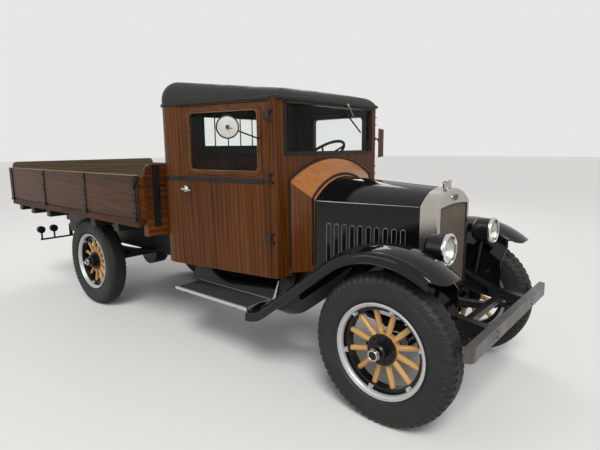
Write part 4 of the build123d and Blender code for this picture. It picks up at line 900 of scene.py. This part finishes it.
screen = {"half": 523.0, "low": 1504.0, "high": 1830.0, "frame": 12.0, "proud": 8.0, "face": 2462.0,
          "pivot": (167.0, 1852.0), "armEnd": (250.0, 1765.0), "blade": ((132.0, 1806.0), (353.0, 1654.0))}
screenFrame = Shape()
frameX = (screen["face"] - 2, screen["face"] + screen["proud"])
wide = screen["half"] + screen["frame"]
screenFrame.box(*frameX, -wide, wide, screen["high"], screen["high"] + screen["frame"])
screenFrame.box(*frameX, -wide, wide, screen["low"] - 8, screen["low"] + 2)
for side in (-1, 1):
    y0, y1 = sorted((side * screen["half"], side * (screen["half"] + screen["frame"])))
    screenFrame.box(*frameX, y0, y1, screen["low"] - 8, screen["high"] + screen["frame"])
for side in (-1, 1):
    y0, y1 = sorted((side * (screen["half"] - 12), side * screen["half"]))
    screenFrame.box(screen["face"] - 24, screen["face"] - 12, y0, y1, screen["low"], screen["high"])
screenFrame.box(screen["face"] - 24, screen["face"] - 12, -screen["half"], screen["half"], screen["low"],
                screen["low"] + 12)
makePiece("screenFrame", screenFrame, blackSatin, "chassis", bevel=2.0)

wiperX = screen["face"] + 12
wiperArm = Shape()
wiperArm.disc((wiperX - 6, *screen["pivot"]), (1, 0, 0), 12, 16, 20)
wiperArm.tube([(wiperX + 8, *screen["pivot"]), (wiperX + 6, *screen["armEnd"])], 4.0, 8)
makePiece("wiperArm", wiperArm, nickel, "chassis", smooth=True)
wiperBlade = Shape()
wiperBlade.tube([(wiperX, *screen["blade"][0]), (wiperX, *screen["blade"][1])], 6.0, 6)
makePiece("wiperBlade", wiperBlade, blackSatin, "chassis")

# wooden case on the back of the tall mirror
tall = {"place": (2432.0, 712.0, 1572.0), "along": (0.5, -0.866, 0.0), "back": (0.866, 0.5, 0.0)}
mirrorCase = Shape()
mirrorCase.turnedBox(Vector(tall["place"]) + Vector(tall["back"]) * 22, tall["along"], tall["back"], (0, 0, 1),
                     (104, 28, 232))
makePiece("mirrorCase", mirrorCase, mirrorBack, "chassis", bevel=6.0)
print("cab dressed")


# Cowl and hood: beads, hinge lines, louvre edges

cowl = {"rearX": 2462.0, "rearHalf": 494.0, "rearShoulder": 1326.0, "rearApex": 1468.0,
        "frontX": 2567.0, "frontHalf": 345.0, "frontShoulder": 1189.0, "frontApex": 1334.0, "bottom": 690.0}


def archPath(x, half, shoulder, apex, bottom, lift=0.0, steps=24):
    # up one side, over the arch and down the other
    rise = apex - shoulder
    radius = (half * half + rise * rise) / (2 * rise)
    centre = apex - radius
    limit = math.asin(min(1.0, half / radius))
    points = [(x, -half - lift, bottom)]
    for k in range(steps + 1):
        angle = -limit + 2 * limit * k / steps
        points.append((x, (radius + lift) * math.sin(angle), centre + (radius + lift) * math.cos(angle)))
    points.append((x, half + lift, bottom))
    return points


beads = Shape()
beads.tube(archPath(cowl["rearX"] + 5, cowl["rearHalf"], cowl["rearShoulder"], cowl["rearApex"], 740, 3.0), 8, 8)
beads.tube(archPath(cowl["frontX"] - 9, 360, cowl["frontShoulder"] + 14, cowl["frontApex"] + 18, 740, 0.0), 9, 8)
makePiece("cowlBeads", beads, blackSatin, "chassis", smooth=True)

hood = {"rearX": 2567.0, "frontX": 3292.0, "rearHalf": 345.0, "frontHalf": 248.0, "shoulder": 1189.0,
        "rearApex": 1334.0, "frontApex": 1289.0}
hoodLines = Shape()
for side in (-1, 1):
    hoodLines.tube([(hood["rearX"] + 7, side * (hood["rearHalf"] + 0.5), hood["shoulder"] - 5),
                    (hood["frontX"] - 6, side * (hood["frontHalf"] + 0.5), hood["shoulder"] - 5)], 3.0, 8)
makePiece("hoodHinges", hoodLines, nickel, "chassis", smooth=True)

louvre = {"count": 10, "firstX": 2662.0, "pitch": 57.5, "width": 26.0, "low": 760.0, "high": 1038.0, "proud": 10.0,
          "lip": 1.8}
# thin grey lines along each louvre's edges: painted highlight, the louvres themselves are black paint
highlightLines = Shape()
slope = (hood["rearHalf"] - hood["frontHalf"]) / (hood["frontX"] - hood["rearX"])
for side in (-1, 1):
    for number in range(louvre["count"]):
        x = louvre["firstX"] + number * louvre["pitch"]
        y = hood["rearHalf"] - slope * (x - hood["rearX"])
        radius = louvre["width"] / 2
        ends = {-1: louvre["low"] + radius, 1: louvre["high"] - radius}
        # the open edge stands proud, the other dies into the side
        highlightLines.tube([(x, side * (y + louvre["proud"]), ends[-1]), (x, side * (y + louvre["proud"]), ends[1])],
                  louvre["lip"], 6)
        frontY = side * (y - slope * louvre["width"] + 0.6)
        highlightLines.tube([(x + louvre["width"], frontY, ends[-1]), (x + louvre["width"], frontY, ends[1])], 1.1, 6)
        for way, z in ends.items():
            arc = []
            for k in range(9):
                angle = math.pi * k / 8
                along = radius - radius * math.cos(angle)
                out = y - slope * along + louvre["proud"] * (1 - along / louvre["width"])
                arc.append((x + along, side * out, z + way * radius * math.sin(angle)))
            highlightLines.tube(arc, 1.5, 6)
makePiece("louvreHighlightLines", highlightLines, louvreHighlightPaint, "chassis", smooth=True)

print("cowl and hood dressed")


# Radiator: core bars, dark gasket, blank badge, cap wings

grille = {"half": 210.0, "low": 650.0, "high": 1180.0, "faceX": 3393.0, "pitch": 9.0}
core = Shape()
count = int(2 * grille["half"] / grille["pitch"])
for k in range(count + 1):
    y = -grille["half"] + grille["pitch"] * k
    core.box(grille["faceX"] - 6, grille["faceX"] + 2, y - 0.9, y + 0.9, grille["low"], grille["high"] + 8)
rows = int((grille["high"] - grille["low"]) / grille["pitch"])
for k in range(rows + 2):
    z = grille["low"] + grille["pitch"] * k
    core.box(grille["faceX"] - 6, grille["faceX"] + 1, -grille["half"], grille["half"], z - 0.9, z + 0.9)
coreMetal = finish("coreMetal", (0.27, 0.23, 0.18), (0.18, 0.15, 0.12), 0.6, 0.4, 0.2, metal=0.7)
makePiece("coreBars", core, coreMetal, "chassis")

gasket = Shape()
gasketX = 3396.0
edge = [(gasketX, -grille["half"], grille["low"]), (gasketX, -grille["half"], grille["high"])]
for k in range(1, 12):
    y = -grille["half"] + 2 * grille["half"] * k / 12
    edge.append((gasketX, y, grille["high"] + 14 * (1 - (y / grille["half"]) ** 2)))
edge += [(gasketX, grille["half"], grille["high"]), (gasketX, grille["half"], grille["low"])]
gasket.tube(edge, 4.5, 8, closed=True)
makePiece("grilleEdge", gasket, blackSatin, "chassis", smooth=True)

badge = {"x": 3402.0, "z": 1231.0, "half": (48.0, 21.0)}


def ovalPad(face, lift, grow, hollow=0.0):
    # an oval plate on the shell's face, or a ring when hollow is given
    shape = Shape()
    count = 32
    spans = [(lift[0], 0.0), (lift[1] - 1.5, 0.0), (lift[1], -1.5)]
    points, faces = [], []
    for rise, inset in spans:
        for k in range(count):
            angle = 2 * math.pi * k / count
            points.append((face["x"] + rise, (face["half"][0] + grow + inset) * math.cos(angle),
                           face["z"] + (face["half"][1] + grow + inset) * math.sin(angle)))
    if hollow:
        for k in range(count):
            angle = 2 * math.pi * k / count
            points.append((face["x"] + lift[1] - 1, (face["half"][0] + grow - hollow) * math.cos(angle),
                           face["z"] + (face["half"][1] + grow - hollow) * math.sin(angle)))
    for i in range(len(points) // count - 1):
        for k in range(count):
            m = (k + 1) % count
            faces.append((i * count + k, i * count + m, (i + 1) * count + m, (i + 1) * count + k))
    if not hollow:
        faces.append(tuple(2 * count + k for k in range(count)))
    shape.put(points, faces)
    return shape


badgeEnamel = finish("badgeEnamel", (0.010, 0.016, 0.05), None, 0.3, 0.2, 0.05)
makePiece("blankBadge", ovalPad(badge, (-2.0, 4.0), 0.0), badgeEnamel, "chassis", smooth=True)
makePiece("badgeRim", ovalPad(badge, (-2.0, 6.0), 4.0, hollow=6.0), nickel, "chassis", smooth=True)

wings = Shape()
for side in (-1, 1):
    wings.turnedBox((3348, side * 36, 1327), (0, side, 0.3), (1, 0, 0), (0, 0.3, -side), (42, 12, 7))
wings.spin([(0, 0.5), (0, 14), (8, 15), (13, 9), (14, 0.5)], (3348, 0, 1324), (0, 0, 1), 24)
makePiece("capWings", wings, nickel, "chassis", smooth=True, bevel=1.5)

lamps = {"x": 3533.0, "y": 367.0, "z": 978.0, "radius": 90.0}
rims = Shape()
bowls = Shape()
for side in (-1, 1):
    centre = (lamps["x"], side * lamps["y"], lamps["z"])
    rims.spin([(-16, 86), (-12, 92), (-2, 94), (6, 90), (9, 84), (7, 78), (-2, 78), (-4, 84)], centre, (1, 0, 0), 56)
    bowls.spin([(-12, 76), (-40, 62), (-62, 42), (-74, 18), (-77, 0.5)], centre, (1, 0, 0), 40, closed=False)
    bowls.spin([(-74, 0.5), (-74, 9), (-50, 11), (-40, 8), (-36, 0.5)], centre, (1, 0, 0), 20, closed=False)
makePiece("lampRims", rims, chrome, "chassis", smooth=True)
makePiece("lampBowls", bowls, lampBowl, "chassis", smooth=True)
print("front dressed")


# Fenders, steps, bumper

fender = {"radius": 565.0, "centreZ": 425.0, "x": 3300.0, "out": 775.0, "tail": 36.8, "beadStart": 29.0,
          "stepZ": 468.0, "stepFront": 2300.0, "skirt": 50.0, "inner": 485.0}


def fenderLip(offsetY, lift, steps=18):
    # a line along the sweep from the front corner to the step
    points = []
    radius = fender["radius"] + lift
    for k in range(steps + 1):
        angle = math.radians(fender["beadStart"] - (fender["beadStart"] + fender["tail"]) * k / steps)
        points.append((fender["x"] + radius * math.sin(angle), offsetY, fender["centreZ"] + radius * math.cos(angle)))
    tail = math.radians(fender["tail"])
    low = fender["stepZ"] - 26.0
    leave = (fender["x"] - fender["radius"] * math.sin(tail), fender["centreZ"] + fender["radius"] * math.cos(tail))
    meet = leave[0] - (leave[1] - low) / math.tan(tail)
    reach = meet - fender["stepFront"]
    bend = reach * math.sin(tail) / (1 - math.cos(tail))
    for k in range(11):
        angle = tail * (1 - k / 10)
        x = meet - reach + bend * math.sin(angle)
        z = low + bend * (1 - math.cos(angle))
        points.append((x - lift * math.sin(angle), offsetY, z + lift * math.cos(angle)))
    return points


wire = Shape()
wire.tube(fenderLip(-fender["out"] + 2, -fender["skirt"] + 2), 5, 8)
wire.join(wire.mirrored())
makePiece("fenderWires", wire, blackGloss, "chassis", smooth=True)

# sheet that closes the space between the fender's tail, the cab's underside and the frame
apron = Shape()
apronTop = 687.0
lower = [p for p in fenderLip(-fender["inner"], -8.0) if p[0] < 2700 and p[2] < apronTop - 6]
points, faces = [], []
for x, y, z in lower:
    points += [(x, y, z), (x, -404, apronTop), (x, -401, apronTop - 3), (x, y + 4, z - 3)]
for i in range(len(lower) - 1):
    faces += [(i * 4 + k, i * 4 + (k + 1) % 4, i * 4 + 4 + (k + 1) % 4, i * 4 + 4 + k) for k in range(4)]
faces.append((3, 2, 1, 0))
faces.append(tuple(4 * (len(lower) - 1) + k for k in range(4)))
apron.put(points, faces)
apron.join(apron.mirrored())
makePiece("tailAprons", apron, blackSatin, "chassis")

step = {"x": (1490.0, 2300.0), "y": (-760.0, -512.0), "z": 468.0, "ribs": 15}
mat = Shape()
mat.box(step["x"][0] + 16, step["x"][1] - 16, step["y"][0] + 14, step["y"][1] - 12, step["z"] - 1, step["z"] + 3)
ribPitch = (step["y"][1] - step["y"][0] - 34) / step["ribs"]
for k in range(step["ribs"]):
    y = step["y"][0] + 20 + ribPitch * k
    mat.box(step["x"][0] + 20, step["x"][1] - 20, y, y + ribPitch * 0.55, step["z"] + 3, step["z"] + 6)
mat.join(mat.mirrored())
makePiece("stepMats", mat, stepRubber, "chassis")
edging = Shape()
x0, x1 = step["x"]
y0, y1 = step["y"]
edging.box(x0 - 2, x1 + 2, y0 - 3, y0 + 14, step["z"] - 16, step["z"] + 7)
edging.box(x0 - 2, x0 + 14, y0, y1, step["z"] - 16, step["z"] + 7)
edging.box(x1 - 14, x1 + 2, y0, y1, step["z"] - 16, step["z"] + 7)
edging.box(x0, x1, y1 - 12, y1, step["z"], step["z"] + 7)
edging.join(edging.mirrored())
makePiece("stepEdging", edging, aluminium, "chassis", bevel=1.5)

bolts = Shape()
for side in (-1, 1):
    for z in (534.0, 566.0):
        bolts.disc((3805, side * 335, z), (1, 0, 0), 9, 6, 6)
makePiece("bumperBolts", bolts, bumperPaint, "chassis", bevel=0.8)
print("fenders and steps dressed")


# Bed: board edges, bolt heads, lamps

strapBolts = Shape()
for x in bed["straps"]:
    for z in (1050.0, 1150.0, 1190.0, 1300.0):
        strapBolts.disc((x, -bed["out"] - 8, z), (0, -1, 0), 8, 5, 8)
makePiece("strapBolts_right", strapBolts, blackSatin, "side_board_right", bevel=1.0)
makePiece("strapBolts_left", strapBolts.mirrored(), blackSatin, "side_board_left", bevel=1.0)

capping = Shape()
capping.box(bed["rear"] + 2, bed["front"] - 36, -bed["out"] - 3, -bed["out"] + bed["board"] + 2, bed["sideTop"] - 1,
            bed["sideTop"] + 4)
makePiece("sideCapping_right", capping, paleEdge, "side_board_right", bevel=1.5)
makePiece("sideCapping_left", capping.mirrored(), paleEdge, "side_board_left", bevel=1.5)

# battens that carry the headboard out to the side boards
battens = Shape()
battens.box(bed["front"] - 46, bed["front"], -bed["out"] + 32, -bed["headHalf"] + 2, 1001, 1336)
battens.join(battens.mirrored())
makePiece("headboardBattens", battens, railWood, "chassis", bevel=1.5)

latch = Shape()
latch.tube([(bed["straps"][3] + 12, -bed["out"] - 11, 1240), (bed["straps"][3] + 16, -bed["out"] - 12, 1262),
            (bed["straps"][3] + 28, -bed["out"] - 12, 1284), (bed["front"] - 30, -bed["out"] - 11, 1300),
            (bed["front"] - 22, -bed["out"] - 9, 1326)], 6, 8)
makePiece("latchHook_right", latch, blackSatin, "side_board_right", smooth=True)
makePiece("latchHook_left", latch.mirrored(), blackSatin, "side_board_left", smooth=True)

tailBolts = Shape()
for y in bed["tailStraps"]:
    for z in (1050.0, 1170.0, 1340.0):
        tailBolts.disc((bed["rear"] - 8, y, z), (-1, 0, 0), 8, 5, 8)
makePiece("tailBolts", tailBolts, blackSatin, "tail_board", bevel=1.0)

lampGlass = Shape()
indicatorGlass = Shape()
for side in (-1, 1):
    lampGlass.spin([(0, 0.5), (0, 36), (5, 34), (9, 24), (11, 0.5)], (-1330, side * 534, 606), (-1, 0, 0), 32)
    indicatorGlass.spin([(0, 0.5), (0, 36), (5, 34), (9, 24), (11, 0.5)], (-1330, side * 676, 606), (-1, 0, 0), 32)
makePiece("tailLampGlass", lampGlass, redGlass, "chassis", smooth=True)
makePiece("turnLampGlass", indicatorGlass, amberGlass, "chassis", smooth=True)
print("bed dressed")


# Cab inside: pleated seat, round door mirror

seatSize = {"cushion": (1478.0, 1880.0, 955.0, 1095.0), "back": (1378.0, 1478.0, 980.0, 1470.0), "half": 612.0,
            "pleats": 14}


def pleated(shape, corner, alongA, alongB, outDir, depth, pleats):
    # a padded slab whose face swells between its sewn channels
    corner, alongA, alongB, outDir = Vector(corner), Vector(alongA), Vector(alongB), Vector(outDir).normalized()
    columns = pleats * 6
    rowsCount = 10
    points, faces = [], []
    for face in (0, 1):
        for j in range(rowsCount + 1):
            v = j / rowsCount
            for i in range(columns + 1):
                u = i / columns
                swell = abs(math.sin(math.pi * u * pleats)) ** 0.55
                border = min(1.0, 9 * min(v, 1 - v)) ** 0.5
                lift = depth - 12 + 11 * swell * border - 16 * (1 - border) if face else 0.0
                points.append(tuple(corner + alongA * u + alongB * v + outDir * lift))
    size = (columns + 1) * (rowsCount + 1)
    for face in (0, 1):
        for j in range(rowsCount):
            for i in range(columns):
                a = face * size + j * (columns + 1) + i
                quad = (a, a + 1, a + columns + 2, a + columns + 1)
                faces.append(quad if face else tuple(reversed(quad)))
    edgeLoop = ([i for i in range(columns + 1)] + [j * (columns + 1) + columns for j in range(1, rowsCount + 1)]
                + [rowsCount * (columns + 1) + i for i in range(columns - 1, -1, -1)]
                + [j * (columns + 1) for j in range(rowsCount - 1, 0, -1)])
    for k in range(len(edgeLoop)):
        a, b = edgeLoop[k], edgeLoop[(k + 1) % len(edgeLoop)]
        faces.append((a, b, size + b, size + a))
    shape.put(points, faces)


cushions = Shape()
half = seatSize["half"]
x0, x1, z0, z1 = seatSize["cushion"]
pleated(cushions, (x0 + 2, -half + 20, z0 + 1), (0, 2 * half - 40, 0), (x1 - x0 - 4, 0, 0), (0, 0, 1), z1 - z0, seatSize["pleats"])
x0, x1, z0, z1 = seatSize["back"]
pleated(cushions, (x0 + 2, -half + 30, z1 - 2), (0, 2 * half - 60, 0), (0, 0, -(z1 - z0 - 4)), (1, 0, 0), x1 - x0, seatSize["pleats"])
seatPiece = makePiece("seatPleats", cushions, seatLeather, "chassis", smooth=True)
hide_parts("seat")

mirror = {"place": (2272.0, -850.0, 1674.0), "front": (0.8, -0.6, 0.0), "radius": 70.0}
mirrorFace = Shape()
mirrorFace.spin([(-6.5, 0.5), (-6.5, 64), (-9, 64), (-9, 0.5)], mirror["place"], mirror["front"], 40)
makePiece("roundMirrorGlass", mirrorFace, mirrorGlass, "door_right", smooth=True)
mirrorShell = Shape()
mirrorShell.spin([(6, 0.5), (6, 65), (8, 64), (12, 40), (13, 0.5)], mirror["place"], mirror["front"], 40)
makePiece("roundMirrorBack", mirrorShell, enamel, "door_right", smooth=True)
mirrorRim = Shape()
mirrorRim.spin([(-9, 65), (-9, 71), (-5, 73), (5, 73), (9, 71), (9, 65)], mirror["place"], mirror["front"], 40)
mirrorRim.spin([(12, 0.5), (12, 13), (22, 11), (23, 0.5)], mirror["place"], mirror["front"], 20)
makePiece("roundMirrorRim", mirrorRim, blackSatin, "door_right", smooth=True)
print("cab inside dressed")


# Studio

studio = {
    "floor": (0.68, 0.67, 0.65), "floorSize": 60.0, "fill": 0.42, "seen": (0.80, 0.80, 0.79),
    "sun": {"power": 2.1, "angle": 22.0, "from": (2.2, -2.4, 4.6)},
    "panels": (("keyPanel", (5.5, -5.0, 5.0), 180.0, 3.0), ("sidePanel", (-2.0, -7.0, 4.0), 70.0, 3.5),
               ("backPanel", (-4.0, 5.5, 5.5), 160.0, 4.0)),
}


def aimed(name, data, spot):
    lamp = bpy.data.objects.new(name, data)
    lamp.location = spot
    lamp.rotation_euler = (Vector((0.3, 0, 0.8)) - Vector(spot)).to_track_quat("-Z", "Y").to_euler()
    bpy.context.scene.collection.objects.link(lamp)


def makeStudio():
    material, tree, shader, place = startMaterial("paleFloor")
    shader.inputs["Base Color"].default_value = (*studio["floor"], 1.0)
    shader.inputs["Roughness"].default_value = 0.6
    mesh = bpy.data.meshes.new("floor")
    half = studio["floorSize"]
    mesh.from_pydata([(-half, -half, 0), (half, -half, 0), (half, half, 0), (-half, half, 0)], [], [(0, 1, 2, 3)])
    mesh.materials.append(material)
    floor = bpy.data.objects.new("floor", mesh)
    bpy.context.scene.collection.objects.link(floor)
    world = bpy.data.worlds.new("studio")
    bpy.context.scene.world = world
    world.use_nodes = True
    tree = world.node_tree
    background = tree.nodes["Background"]
    background.inputs["Color"].default_value = (1.0, 1.0, 1.0, 1.0)
    background.inputs["Strength"].default_value = studio["fill"]
    seen = tree.nodes.new("ShaderNodeBackground")
    seen.inputs["Color"].default_value = (*studio["seen"], 1.0)
    light = tree.nodes.new("ShaderNodeLightPath")
    mixer = tree.nodes.new("ShaderNodeMixShader")
    anySeen = mathNode(tree, "MAXIMUM", light.outputs["Is Camera Ray"], light.outputs["Is Glossy Ray"])
    anySeen = mathNode(tree, "MAXIMUM", anySeen, light.outputs["Is Transmission Ray"])
    tree.links.new(anySeen, mixer.inputs[0])
    tree.links.new(background.outputs[0], mixer.inputs[1])
    tree.links.new(seen.outputs[0], mixer.inputs[2])
    tree.links.new(mixer.outputs[0], tree.nodes["World Output"].inputs["Surface"])
    sun = bpy.data.lights.new("sun", "SUN")
    sun.energy = studio["sun"]["power"]
    sun.angle = math.radians(studio["sun"]["angle"])
    aimed("sun", sun, studio["sun"]["from"])
    for name, spot, power, width in studio["panels"]:
        panel = bpy.data.lights.new(name, "AREA")
        panel.energy = power
        panel.size = width
        aimed(name, panel, spot)


view = {"place": (4524.0, -2811.8, 1553.3), "yaw": 130.34, "pitch": -9.67, "roll": -0.52, "lens": 27.82,
        "sensor": 36.0}


def makeCamera():
    yaw, pitch, roll = (math.radians(view[k]) for k in ("yaw", "pitch", "roll"))
    forward = Vector((math.cos(yaw) * math.cos(pitch), math.sin(yaw) * math.cos(pitch), math.sin(pitch)))
    right = forward.cross(Vector((0, 0, 1))).normalized()
    up = right.cross(forward)
    rolledRight = right * math.cos(roll) + up * math.sin(roll)
    rolledUp = up * math.cos(roll) - right * math.sin(roll)
    turn = Matrix((rolledRight, rolledUp, -forward)).transposed().to_4x4()
    data = bpy.data.cameras.new("photoView")
    data.lens = view["lens"]
    data.sensor_width = view["sensor"]
    camera = bpy.data.objects.new("photoView", data)
    camera.matrix_world = Matrix.Translation(row(*view["place"])) @ turn
    bpy.context.scene.collection.objects.link(camera)
    bpy.context.scene.camera = camera


makeStudio()
makeCamera()
bpy.context.scene.view_settings.view_transform = "Standard"
print("studio ready")
